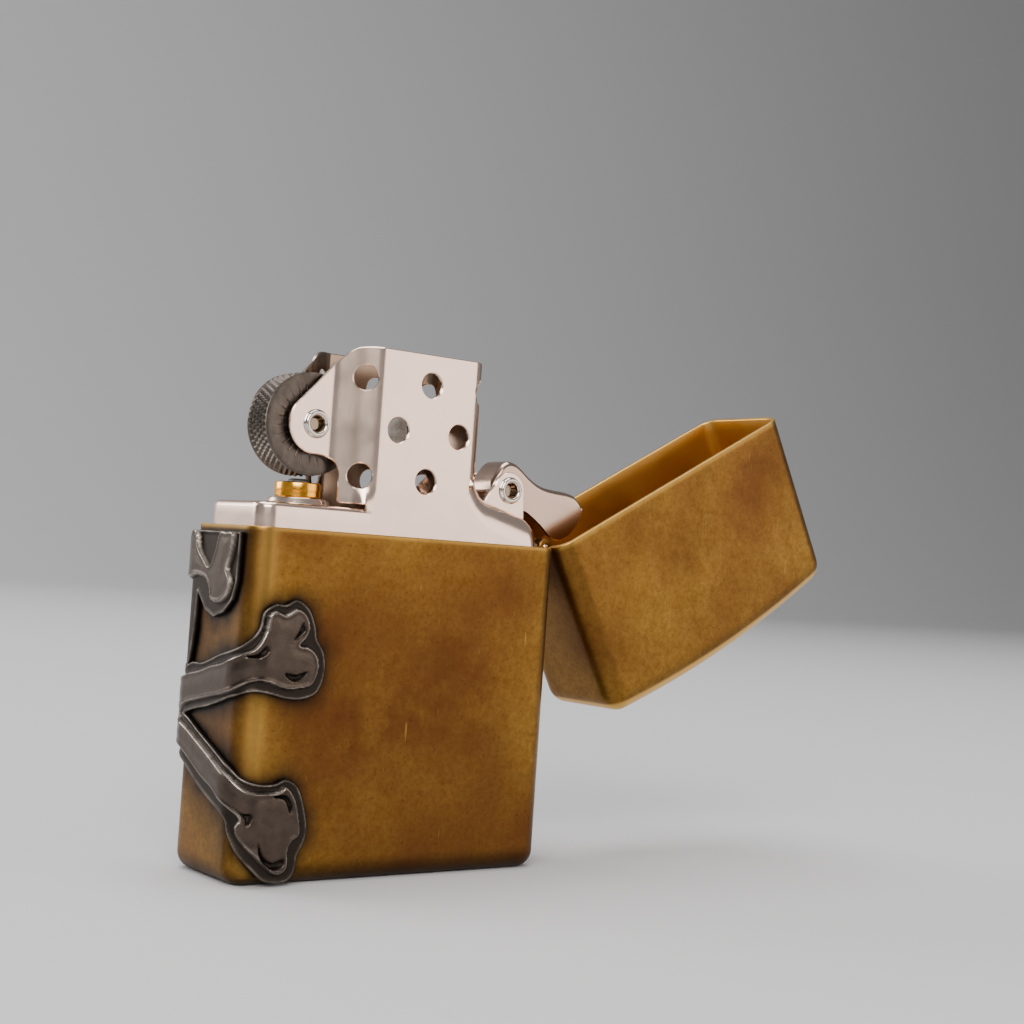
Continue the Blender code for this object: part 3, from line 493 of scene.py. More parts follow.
@dataclass
class Sheet:
    """A piece of sheet or plate, cut to an outline on a grid and laid on a surface.

    Attributes:
        inside: depth of (u, v) inside the material, in millimetres, negative in the open.
        surface: point of the reference surface at (u, v), moved w along its outward normal.
        front: outer face's w from depth, u and v.
        back: inner face's w from depth, u and v.
        bevel: how far the faces' rims stand in from the cut edge and beyond its flat.
    """

    inside: Field
    surface: Layer
    front: Layer
    back: Layer
    bevel: float = 0.06

    def pulled(self, u: Array, v: Array, target: float) -> tuple[Array, Array]:
        """Moves points along the depth's slope until their depth is target, by Newton's steps.

        Args:
            u, v: the coordinates.
            target: the depth to reach.

        Returns:
            The moved coordinates.
        """
        e = 1e-3  # half the step that the slope is measured over
        for _ in range(3):
            miss = self.inside(u, v) - target
            slope_u = (self.inside(u + e, v) - self.inside(u - e, v)) / (2 * e)
            slope_v = (self.inside(u, v + e) - self.inside(u, v - e)) / (2 * e)
            steep = np.maximum(slope_u**2 + slope_v**2, LEAST_SLOPE)
            u, v = u - miss * slope_u / steep, v - miss * slope_v / steep
        return u, v

    def build(self, name: str, u: Array, v: Array, smooth: float = SMOOTH_ANGLE) -> Piece:
        """Keeps the cells inside the material, pulls their rim onto the outline and closes the edge.

        Args:
            name: the piece's name.
            u: first coordinates of the grid, two-dimensional.
            v: second coordinates, in the same shape.
            smooth: edges sharper than this angle stay sharp.

        Returns:
            The closed piece.
        """
        rows, columns = u.shape
        step = max(np.abs(np.diff(u, axis=1)).min(), np.abs(np.diff(v, axis=0)).min())
        inner = self.inside(u, v) > -RIM_SHARE * step
        cell = inner[:-1, :-1] & inner[1:, :-1] & inner[:-1, 1:] & inner[1:, 1:]
        around = np.zeros((rows + 1, columns + 1), int)
        around[1:-1, 1:-1] = np.where(cell, 1, 0)
        open_around = np.ones((rows + 1, columns + 1), int)
        open_around[1:-1, 1:-1] = np.where(cell, 0, 1)
        open_around[0] = open_around[-1] = open_around[:, 0] = open_around[:, -1] = 0
        used = sum(around[i : i + rows, j : j + columns] for i in (0, 1) for j in (0, 1)) > 0
        rim = used & (sum(open_around[i : i + rows, j : j + columns] for i in (0, 1) for j in (0, 1)) > 0)
        edge_u, edge_v, u, v = u.copy(), v.copy(), u.copy(), v.copy()
        edge_u[rim], edge_v[rim] = self.pulled(u[rim], v[rim], 0.0)
        u[rim], v[rim] = self.pulled(u[rim], v[rim], self.bevel)
        depth = np.where(rim, self.bevel, np.maximum(self.inside(u, v), 0))
        high, low = self.front(depth, u, v), self.back(depth, u, v)
        layers = [
            self.surface(u, v, high),
            self.surface(edge_u, edge_v, high - self.bevel),
            self.surface(edge_u, edge_v, low + self.bevel),
            self.surface(u, v, low),
        ]
        quads = grid_faces(rows, columns)[cell.ravel()]
        edges = np.concatenate([quads[:, [k, (k + 1) % 4]] for k in range(4)])
        _, first, count = np.unique(np.sort(edges, axis=1), axis=0, return_index=True, return_counts=True)
        border = edges[first[count == 1]]
        shift = rows * columns
        faces = [quads, quads[:, ::-1] + 3 * shift]
        for layer in range(3):
            a, b = border + layer * shift, border + (layer + 1) * shift
            faces.append(np.stack([a[:, 0], b[:, 0], b[:, 1], a[:, 1]], -1))
        faces = np.concatenate(faces)
        numbers, faces = np.unique(faces, return_inverse=True)
        points = np.concatenate([layer.reshape(-1, 3) for layer in layers])[numbers]
        return mesh_piece(name, points, faces.reshape(-1, 4), smooth)


def plate(thickness: float, inside: Field, surface: Layer) -> Sheet:
    """A sheet of even thickness on both sides of its reference surface."""
    half = thickness / 2
    return Sheet(inside, surface, lambda d, u, v: half + 0 * d, lambda d, u, v: -half + 0 * d)


def even_grid(u_range: Point, v_range: Point, step: float) -> tuple[Array, Array]:
    """A square grid that covers the two ranges."""
    u = np.arange(u_range[0], u_range[1] + step, step)
    v = np.arange(v_range[0], v_range[1] + step, step)
    return np.meshgrid(u, v)


# ---- finishes


class Shading:
    """One material's node tree, with short calls for the nodes that the finishes share."""

    def __init__(self, name: str, colour: Colour, roughness: float, metallic: float) -> None:
        """Starts a Principled material with even values.

        Args:
            name: the material's name.
            colour: base colour.
            roughness: 0 to 1.
            metallic: 0 or 1.
        """
        self.material = bpy.data.materials.new(name)
        self.material.use_nodes = True
        self.nodes = self.material.node_tree.nodes
        self.links = self.material.node_tree.links
        self.shader = self.nodes["Principled BSDF"]
        self.shader.inputs["Base Color"].default_value = (*colour, 1)
        self.shader.inputs["Roughness"].default_value = roughness
        self.shader.inputs["Metallic"].default_value = metallic
        self.place = self.nodes.new("ShaderNodeTexCoord").outputs["Object"]

    def feed(self, socket: Socket, value: object) -> None:
        """Links a socket or sets a plain value.

        Args:
            socket: the input.
            value: a socket or a plain value.
        """
        if isinstance(value, Socket):
            self.links.new(value, socket)
        else:
            socket.default_value = value

    def noise(
        self, size: float, detail: float = 3, stretch: Sequence[float] = (1, 1, 1), rough: float = 0.5
    ) -> Socket:
        """Noise whose marks are about size millimetres across, drawn out by stretch.

        Args:
            size: of the marks, in millimetres.
            detail: octaves.
            stretch: how far they are drawn out along each axis.
            rough: weight of the finer octaves.

        Returns:
            The noise, 0 to 1.
        """
        mapping = self.nodes.new("ShaderNodeMapping")
        mapping.inputs["Scale"].default_value = [1 / s for s in stretch]
        self.links.new(self.place, mapping.inputs["Vector"])
        node = self.nodes.new("ShaderNodeTexNoise")
        node.inputs["Scale"].default_value = 1 / (size * MM)
        node.inputs["Detail"].default_value = detail
        node.inputs["Roughness"].default_value = rough
        self.links.new(mapping.outputs["Vector"], node.inputs["Vector"])
        return node.outputs["Fac"]

    def height(self, axis: str = "Z") -> Socket:
        """One coordinate of the point, in metres."""
        split = self.nodes.new("ShaderNodeSeparateXYZ")
        self.links.new(self.place, split.inputs["Vector"])
        return split.outputs[axis]

    def attribute(self, name: str) -> Socket:
        """A number painted on the mesh's points."""
        node = self.nodes.new("ShaderNodeAttribute")
        node.attribute_name = name
        return node.outputs["Fac"]

    def spread(
        self, value: Socket, low: float, high: float, to_low: float = 0, to_high: float = 1
    ) -> Socket:
        """Maps low..high to to_low..to_high, held at the ends.

        Args:
            value: the number to map.
            low, high: the range that it comes from.
            to_low, to_high: the range that it goes to.

        Returns:
            The mapped number.
        """
        node = self.nodes.new("ShaderNodeMapRange")
        self.links.new(value, node.inputs["Value"])
        for key, number in zip(("From Min", "From Max", "To Min", "To Max"), (low, high, to_low, to_high)):
            node.inputs[key].default_value = number
        return node.outputs["Result"]

    def maths(self, operation: str, a: object, b: object) -> Socket:
        """A Math node on two values.

        Args:
            operation: what it does.
            a, b: sockets or numbers.

        Returns:
            The result.
        """
        node = self.nodes.new("ShaderNodeMath")
        node.operation = operation
        self.feed(node.inputs[0], a)
        self.feed(node.inputs[1], b)
        return node.outputs[0]

    def blend(self, amount: object, a: object, b: object) -> Socket:
        """Colour a at amount 0 and colour b at 1; plain colours are (r, g, b).

        Args:
            amount: socket or number.
            a, b: sockets or colours.

        Returns:
            The mixed colour.
        """
        node = self.nodes.new("ShaderNodeMix")
        node.data_type = "RGBA"
        self.feed(node.inputs["Factor"], amount)
        for socket, value in zip((node.inputs[MIX_A], node.inputs[MIX_B]), (a, b)):
            self.feed(socket, (*value, 1) if isinstance(value, tuple) else value)
        return node.outputs[MIX_RESULT]

    def bump(self, height: Socket, depth: float, strength: float = 1.0) -> None:
        """Adds relief of depth millimetres under whatever relief is there.

        Args:
            height: the relief, 0 to 1.
            depth: in millimetres.
            strength: share of the relief that shows.
        """
        node = self.nodes.new("ShaderNodeBump")
        node.inputs["Strength"].default_value = strength
        node.inputs["Distance"].default_value = depth * MM
        self.links.new(height, node.inputs["Height"])
        if self.shader.inputs["Normal"].is_linked:
            self.links.new(self.shader.inputs["Normal"].links[0].from_socket, node.inputs["Normal"])
        self.links.new(node.outputs["Normal"], self.shader.inputs["Normal"])


@dataclass(frozen=True)
class AgedBrass:
    """Unlacquered brass that has darkened: golden ground, brown bloom, dark specks, painted shade at the base
    and dark round the casting.
    """

    name: str = "aged_brass"
    ground: Colour = (0.175, 0.083, 0.013)
    light: Colour = (0.275, 0.15, 0.030)
    bloom: Colour = (0.095, 0.031, 0.010)
    # Colour of the dark specks, of the painted shade at the base and of the dark round the casting
    dark_tone: Colour = (0.014, 0.009, 0.007)
    # Clean brass, also used as a painted highlight down the case's corner
    clean_and_highlight: Colour = (0.80, 0.47, 0.11)

    def build(self) -> Material:
        """Layers bloom, specks, worn rims, a painted corner highlight, painted shade at the base and dark
        round the casting over the ground colour.

        Returns:
            The material.
        """
        s = Shading(self.name, self.ground, 0.4, 1.0)
        cloud = s.spread(s.noise(13, 3), 0.38, 0.66)
        mottle = s.spread(s.noise(3.2, 5, rough=0.62), 0.35, 0.7)
        fleck = s.spread(s.noise(0.5, 4, rough=0.7), 0.45, 0.75)
        speck = s.spread(s.noise(0.35, 2, rough=0.6), 0.66, 0.72)
        grain = s.spread(s.noise(0.9, 5, rough=0.75), 0.36, 0.66)
        colour = s.blend(s.maths("MULTIPLY", s.maths("ADD", mottle, grain), 0.6), self.ground, self.light)
        colour = s.blend(s.maths("MULTIPLY", cloud, 0.75), colour, self.bloom)
        colour = s.blend(s.maths("MULTIPLY", fleck, 0.5), colour, self.bloom)
        patchy = s.spread(s.noise(4.5, 5, rough=0.6), 0.3, 0.65, 0.45, 0.95)
        tarnish = s.maths("MULTIPLY", s.attribute("bloom"), patchy)
        colour = s.blend(tarnish, colour, self.bloom)
        colour = s.blend(s.maths("MULTIPLY", speck, 0.4), colour, self.dark_tone)
        scratch = s.spread(s.noise(0.55, 1, stretch=(1, 1, 6)), 0.76, 0.84)
        colour = s.blend(s.maths("MULTIPLY", scratch, 0.2), colour, self.clean_and_highlight)
        # Painted shade along the bottom of the case, where its rounded foot is in shadow
        foot = s.spread(s.height(), 2.6 * MM, 0.4 * MM)
        # The painted halo: dark close round the casting, and painted shade where it spreads over the narrow
        # side
        halo = s.attribute("halo")
        ragged = s.maths("ADD", halo, s.maths("MULTIPLY", s.maths("SUBTRACT", mottle, 0.5), 0.25))
        dark = s.maths("MAXIMUM", s.maths("MULTIPLY", foot, 0.8), s.spread(ragged, 0.12, 0.95))
        colour = s.blend(dark, colour, self.dark_tone)
        # Clean metal where worn and inside the lid, and a painted highlight down the case's corner
        colour = s.blend(s.attribute("wear_and_highlight"), colour, self.clean_and_highlight)
        s.feed(s.shader.inputs["Base Color"], colour)
        haze = s.spread(s.noise(7, 4, rough=0.6), 0.3, 0.75, 0.30, 0.46)
        s.feed(s.shader.inputs["Roughness"], s.maths("ADD", haze, s.maths("MULTIPLY", dark, 0.12)))
        s.bump(s.noise(0.35, 3), 0.006)
        s.bump(s.noise(0.6, 2, stretch=(1, 1, 22)), 0.004)
        s.bump(s.noise(0.5, 2, stretch=(24, 1, 1)), 0.002)
        return s.material


@dataclass(frozen=True)
class SatinNickel:
    """Nickel plate on folded steel sheet, soft and a little wavy, with faint stains."""

    name: str = "nickel"
    colour: Colour = (0.82, 0.625, 0.505)
    stain: Colour = (0.60, 0.43, 0.33)
    # Dark of the painted shade inside the chimney and the rivets' bores, and of a painted reflection streak
    shade_and_reflection: Colour = (0.17, 0.11, 0.065)
    roughness: float = 0.2

    def build(self) -> Material:
        """Adds stains, haze and fine rolling lines.

        Returns:
            The material.
        """
        s = Shading(self.name, self.colour, self.roughness, 1.0)
        stain = s.spread(s.noise(4, 5, rough=0.65), 0.52, 0.8)
        colour = s.blend(s.maths("MULTIPLY", stain, 0.12), self.colour, self.stain)
        # Painted shade and a painted reflection, by the amounts painted on the mesh
        s.feed(s.shader.inputs["Base Color"], s.blend(s.attribute("shade_and_reflection"), colour, self.shade_and_reflection))
        haze = s.spread(s.noise(2.5, 5, rough=0.6), 0.3, 0.75, self.roughness - 0.02, self.roughness + 0.05)
        s.feed(s.shader.inputs["Roughness"], haze)
        s.bump(s.noise(0.3, 3, stretch=(1, 1, 16)), 0.0012)
        s.bump(s.noise(9, 1), 0.006)
        return s.material


@dataclass(frozen=True)
class PlainMetal:
    """A small metal piece with grime in patches and fine turning marks."""

    name: str
    colour: Colour
    dark: Colour
    roughness: float
    marks: float = 0.003
    dark_tone: float = 0.6

    def build(self) -> Material:
        """Blends the dark tone in by noise and scratches the surface.

        Returns:
            The material.
        """
        s = Shading(self.name, self.colour, self.roughness, 1.0)
        patch = s.spread(s.noise(1.2, 5, rough=0.65), 0.4, 0.75)
        dark_tone = s.maths("MULTIPLY", patch, self.dark_tone)
        s.feed(s.shader.inputs["Base Color"], s.blend(dark_tone, self.colour, self.dark))
        haze = s.spread(s.noise(0.8, 4), 0.3, 0.75, self.roughness - 0.06, self.roughness + 0.12)
        s.feed(s.shader.inputs["Roughness"], haze)
        s.bump(s.noise(0.25, 3), self.marks)
        return s.material


@dataclass(frozen=True)
class CastPewter:
    """Antique nickel on a casting: dark recesses, grey rubbed faces and bright edges, rubbed and partly
    painted highlight.
    """

    name: str = "antique_pewter"
    recess: Colour = (0.028, 0.022, 0.018)
    face: Colour = (0.078, 0.059, 0.047)
    edge: Colour = (0.66, 0.58, 0.50)

    def build(self) -> Material:
        """Mixes the three tones by the painted face and edge amounts.

        Returns:
            The material.
        """
        s = Shading(self.name, self.face, 0.35, 1.0)
        mottle = s.spread(s.noise(0.9, 5, rough=0.65), 0.35, 0.7)
        face = s.blend(s.maths("MULTIPLY", mottle, 0.5), self.face, tuple(0.45 * c for c in self.face))
        colour = s.blend(s.attribute("face"), self.recess, face)
        patchy = s.spread(s.noise(2.2, 4, rough=0.6), 0.36, 0.66, 0.15, 0.75)
        # Bright edges: rubbed metal, partly painted highlight
        rub_and_highlight = s.maths("MULTIPLY", s.attribute("edge"), patchy)
        s.feed(s.shader.inputs["Base Color"], s.blend(rub_and_highlight, colour, self.edge))
        shine = s.maths("MAXIMUM", s.attribute("face"), s.attribute("edge"))
        s.feed(s.shader.inputs["Roughness"], s.spread(shine, 0, 1, 0.5, 0.27))
        s.bump(s.noise(0.3, 4), 0.01)
        return s.material


@dataclass(frozen=True)
class Fibre:
    """Cotton, felt or wick: pale, dull and fuzzy."""

    name: str
    colour: Colour
    shade: Colour
    size: float

    def build(self) -> Material:
        """Mixes two tones by fibre-sized noise and roughens the surface.

        Returns:
            The material.
        """
        s = Shading(self.name, self.colour, 0.95, 0.0)
        s.shader.inputs["Sheen Weight"].default_value = 0.4
        strand = s.spread(s.noise(self.size, 5, stretch=(1, 1, 3), rough=0.7), 0.3, 0.7)
        s.feed(s.shader.inputs["Base Color"], s.blend(strand, self.shade, self.colour))
        s.bump(s.noise(self.size / 2, 5), self.size / 5)
        return s.material


@dataclass
class Finishes:
    """Every finish, built once.

    The brass is the case's, lid's and hinge's; nickel is the insert's; cam is the nickel darkened as painted
    shade and rivet a brighter nickel; collar is the brass of the flint's tube, tip and screw.
    """

    brass: Material = field(default_factory=AgedBrass().build)
    nickel: Material = field(default_factory=SatinNickel().build)
    # A darker copy of the nickel: painted shade on the cam
    cam: Material = field(
        default_factory=SatinNickel("shaded_nickel", (0.46, 0.33, 0.26), (0.34, 0.24, 0.18)).build
    )
    rivet: Material = field(
        default_factory=SatinNickel(
            "rivet_nickel", (0.62, 0.56, 0.50), (0.4, 0.34, 0.29), roughness=0.14
        ).build
    )
    pewter: Material = field(default_factory=CastPewter().build)
    steel: Material = field(
        default_factory=PlainMetal("dark_steel", (0.105, 0.087, 0.073), (0.035, 0.029, 0.024), 0.34).build
    )
    collar: Material = field(
        default_factory=PlainMetal("bright_brass", (0.98, 0.47, 0.05), (0.7, 0.30, 0.025), 0.2).build
    )
    flint: Material = field(
        default_factory=PlainMetal("flint_grey", (0.2, 0.19, 0.18), (0.08, 0.07, 0.07), 0.6, 0.02).build
    )
    cotton: Material = field(
        default_factory=Fibre("cotton", (0.86, 0.84, 0.80), (0.62, 0.58, 0.52), 0.5).build
    )
    felt: Material = field(default_factory=Fibre("felt", (0.78, 0.76, 0.72), (0.55, 0.53, 0.49), 0.35).build)


def dress(
    obj: Piece, material: Material, body: str, replaced: Sequence[str] = ()
) -> Piece:
    """Gives a piece its material, its body and the nodes that it stands for.

    Args:
        obj: the finished piece.
        material: what it is made of.
        body: the body that it moves with.
        replaced: frame nodes that it stands for.

    Returns:
        The same piece.
    """
    obj.data.materials.clear()
    obj.data.materials.append(material)
    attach(obj, body)
    if replaced:
        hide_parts(*replaced)
    LOG.info("%s: %d faces on %s", obj.name, len(obj.data.polygons), body)
    return obj


def paint(obj: Piece, name: str, values: Array) -> None:
    """Stores one number for each point of the mesh."""
    layer = obj.data.attributes.new(name, "FLOAT", "POINT")
    layer.data.foreach_set("value", values.astype(np.float32))


def points_of(obj: Piece) -> Array:
    """The mesh's points, in millimetres."""
    co = np.empty(len(obj.data.vertices) * 3, np.float32)
    obj.data.vertices.foreach_get("co", co)
    return co.reshape(-1, 3).astype(float) / MM


# ---- case and lid


@dataclass
class DrawnCup:
    """A brass cup with rounded corners, an open rim and a closed end.

    Attributes:
        half_x: half its length.
        half_y: half its depth.
        corner: radius of its upright corners.
        wall: thickness.
        edge: radius of the edge round the closed end.
        rim: height of the open end.
        end: height of the closed end.
        crown: how much lower the closed end is at its two short sides.
        pitch: spacing of the grid.
    """

    half_x: float
    half_y: float
    corner: float
    wall: float
    edge: float
    rim: float
    end: float
    crown: float
    pitch: float

    def ring(self, inset: float) -> Array:
        """A rounded rectangle moved inwards by inset, from the middle of +X, +Y first.

        Each quarter is half a short side, an arc and half a long side. The four quarters mirror each
        other, so point j and point -j stand opposite each other across Y = 0.

        Args:
            inset: how far it stands inside the outer wall.

        Returns:
            (n, 2) points.
        """
        radius = max(self.corner - inset, 0.15)
        hx, hy = self.half_x - inset, self.half_y - inset
        short = np.linspace(0, 1, max(int((self.half_y - self.corner) / self.pitch), 4), endpoint=False)
        long = np.linspace(0, 1, max(int((self.half_x - self.corner) / self.pitch), 8))
        turn = np.linspace(0, math.pi / 2, 12, endpoint=False)
        x = np.concatenate([0 * short + hx, hx - radius + radius * np.cos(turn), (hx - radius) * (1 - long)])
        y = np.concatenate([short * (hy - radius), hy - radius + radius * np.sin(turn), 0 * long + hy])
        half_x = np.concatenate([x, -x[-2::-1]])
        half_y = np.concatenate([y, y[-2::-1]])
        whole_x = np.concatenate([half_x, half_x[-2:0:-1]])
        whole_y = np.concatenate([half_y, -half_y[-2:0:-1]])
        return np.stack([whole_x, whole_y], -1)

    def profile(self) -> list[Point]:
        """The section's line, from the middle of the closed end, out, up to the rim and down inside.

        Returns:
            (inset, height) pairs.
        """
        up = 1 if self.rim > self.end else -1
        lip = 0.13
        inner_edge = max(self.edge - self.wall, 0.4)
        flat = [(self.half_y - 0.6, 0.0), (self.half_y * 0.6, 0.0)]
        foot = [
            (self.edge * (1 - math.sin(a)), self.edge * (1 - math.cos(a)))
            for a in np.radians(np.linspace(0, 90, 10))
        ]
        height = abs(self.rim - self.end)
        rows = int((height - self.edge) / self.pitch)
        wall = [(0.0, z) for z in np.linspace(self.edge, height - lip, rows)[1:]]
        over = [(lip * (1 - math.cos(a)), height - lip + lip * math.sin(a)) for a in np.radians([30, 60, 90])]
        back = [
            (self.wall - lip * (1 - math.cos(a)), height - lip + lip * math.sin(a))
            for a in np.radians([90, 60, 30, 0])
        ]
        inside = [(self.wall, z) for z in np.linspace(height - lip, self.wall + inner_edge, 14)[1:]]
        bowl = [
            (self.wall + inner_edge * (1 - math.sin(a)), self.wall + inner_edge * (1 - math.cos(a)))
            for a in np.radians(np.linspace(90, 0, 6)[1:])
        ]
        floor = [(self.half_y * 0.6, self.wall), (self.half_y - 0.6, self.wall)]
        line = flat + foot + wall + over + back + inside + bowl + floor
        return [(inset, self.end + up * z) for inset, z in line]

    def build(self, name: str) -> Piece:
        """Carries the profile round the rings; the first and last close onto a line along X.

        Args:
            name: the piece's name.

        Returns:
            The cup.
        """
        line = self.profile()
        rings = []
        up = 1 if self.rim > self.end else -1
        height = abs(self.rim - self.end)
        spine = self.half_x - self.half_y
        for number, (inset, z) in enumerate([line[0], *line, line[-1]]):
            ring = self.ring(inset)
            if number in (0, len(line) + 1):
                # The end's middle line, where the two long sides of the first and last ring meet
                ring = np.column_stack([np.clip(ring[:, 0], -spine, spine), 0 * ring[:, 1]])
            share = 1 - min(abs(z - self.end) / height, 1)
            sag = up * self.crown * (ring[:, 0] / self.half_x) ** 2 * smooth_step(share * 3 - 1.6)
            rings.append(np.column_stack([ring, z + sag]))
        points = np.concatenate(rings)
        count = len(rings[0])
        return mesh_piece(name, points, grid_faces(len(rings), count, ring=True))


# Emblem outlines in the flat: first coordinate runs round the case from the rear face's left
# crease (positive on the rear face), second is height
UPPER_ARM = [
    (-16.5, 17.0), (-12.2, 20.7), (-9.0, 21.2), (-5.6, 22.3), (-3.0, 23.0), (-1.6, 24.0), (-0.9, 25.2),
    (-0.6, 26.8), (0.5, 27.6), (1.7, 27.6), (2.9, 28.1), (4.3, 27.2), (5.1, 25.6), (5.4, 24.3), (6.3, 22.9),
    (6.5, 21.0), (5.8, 19.1), (4.2, 18.4), (2.4, 18.4), (0.6, 18.8), (-1.1, 19.0), (-3.3, 18.2),
    (-7.3, 17.0), (-12.2, 15.8), (-16.5, 13.0),
]
UPPER_RELIEF = [
    (-16.5, 17.5), (-12.0, 19.7), (-9.0, 20.4), (-6.6, 21.1), (-4.2, 21.6), (-1.9, 22.7), (-1.0, 23.4),
    (-0.4, 25.0), (-0.2, 26.5), (0.6, 26.9), (1.6, 26.6), (2.9, 27.2), (3.9, 26.6), (4.3, 25.4),
    (3.9, 24.4), (3.3, 23.7), (4.3, 23.5), (5.2, 22.9), (5.6, 21.7), (5.2, 20.2), (4.4, 19.6),
    (2.1, 19.4), (0.2, 20.0), (-1.2, 20.0), (-3.5, 18.7), (-8.6, 17.6), (-12.2, 16.7), (-16.5, 14.2),
]
LOWER_ARM = [
    (-16.5, 16.5), (-12.6, 15.8), (-11.2, 15.4), (-9.0, 14.4), (-5.6, 13.0), (-2.9, 11.8), (-1.4, 10.6),
    (0.1, 10.1), (1.8, 10.1), (3.0, 10.5), (4.3, 9.8), (5.1, 8.2), (5.7, 5.8), (5.5, 4.4), (4.8, 3.0),
    (4.6, 1.5), (3.9, 0.6), (2.5, 0.4), (0.8, 0.9), (-1.3, 3.1), (-2.4, 5.2), (-2.9, 6.7),
    (-4.8, 7.6), (-8.2, 9.0), (-12.6, 11.4), (-16.5, 13.5),
]
LOWER_RELIEF = [
    (-16.5, 16.0), (-11.6, 14.7), (-9.0, 13.7), (-5.2, 12.1), (-2.6, 10.8), (-0.8, 9.4), (1.2, 9.3),
    (2.3, 9.4), (3.0, 9.8), (3.9, 8.8), (4.5, 6.9), (4.7, 5.1), (3.9, 4.5), (3.5, 3.6), (3.5, 1.9),
    (2.5, 1.3), (1.3, 2.0), (-0.8, 4.0), (-1.7, 5.6), (-1.4, 6.7), (-2.2, 7.6), (-4.7, 9.2), (-7.4, 10.2),
    (-11.8, 12.3), (-16.5, 14.2),
]
TOP_FORK = [
    (-14.6, 34.4), (-12.4, 34.4), (-10.9, 34.4), (-3.2, 34.4), (-3.2, 32.0), (-3.3, 29.5), (-4.0, 27.7),
    (-5.6, 26.4), (-7.6, 25.8), (-9.4, 26.4), (-11.2, 28.2), (-11.4, 24.4), (-12.0, 21.0), (-14.6, 19.0),
]
TOP_FORK_RELIEF = [
    (-13.4, 32.4), (-12.5, 34.3), (-11.6, 34.2), (-11.0, 32.6), (-9.7, 31.5), (-8.5, 30.8), (-7.5, 32.2),
    (-6.7, 34.2), (-5.4, 34.3), (-4.0, 34.2), (-4.3, 32.2), (-4.9, 30.8), (-4.2, 29.8), (-4.2, 28.8),
    (-5.1, 27.8), (-6.5, 27.3), (-7.8, 27.6), (-8.2, 28.7), (-9.2, 29.6), (-11.4, 29.9), (-13.2, 29.6),
]
SKULL = [
    (-19.4, 21.6), (-18.2, 24.6), (-18.2, 28.4), (-20.4, 31.8), (-24.0, 33.6), (-28.0, 33.6), (-31.6, 31.8),
    (-33.8, 28.4), (-33.8, 24.6), (-32.6, 21.6), (-30.2, 20.2), (-29.6, 16.8), (-26.0, 15.8), (-22.4, 16.8),
    (-21.8, 20.2),
]
EYE = [(-20.9, 24.6), (-21.4, 26.9), (-23.6, 27.1), (-25.0, 25.2), (-23.8, 23.3), (-21.8, 23.1)]
NOSE = [(-26.0, 23.6), (-27.0, 21.3), (-26.0, 21.7), (-25.0, 21.3)]
ENGRAVINGS = [
    [(-1.8, 22.4), (-0.9, 22.7), (-0.3, 23.5), (-0.1, 23.0), (-0.7, 22.4)],
    [(1.8, 20.9), (3.1, 20.8), (4.3, 21.1), (3.7, 20.4), (2.7, 20.2)],
    [(3.5, 25.9), (3.0, 24.9), (2.6, 24.2), (3.2, 24.6), (3.7, 25.2)],
    [(-1.9, 7.9), (-1.2, 7.3), (-0.5, 7.2), (-0.8, 6.1), (-1.1, 6.9)],
    [(0.2, 4.4), (0.8, 3.2), (1.8, 2.5), (3.1, 2.8), (3.0, 2.0), (1.7, 1.9), (0.5, 3.0)],
    [(1.5, 8.9), (2.8, 8.6), (3.5, 7.3), (3.7, 8.1), (2.9, 9.0)],
]


def mirrored(outline: Sequence[Point], about: float) -> list[Point]:
    """The outline turned over about a level of its first coordinate."""
    return [(2 * about - s, z) for s, z in outline]


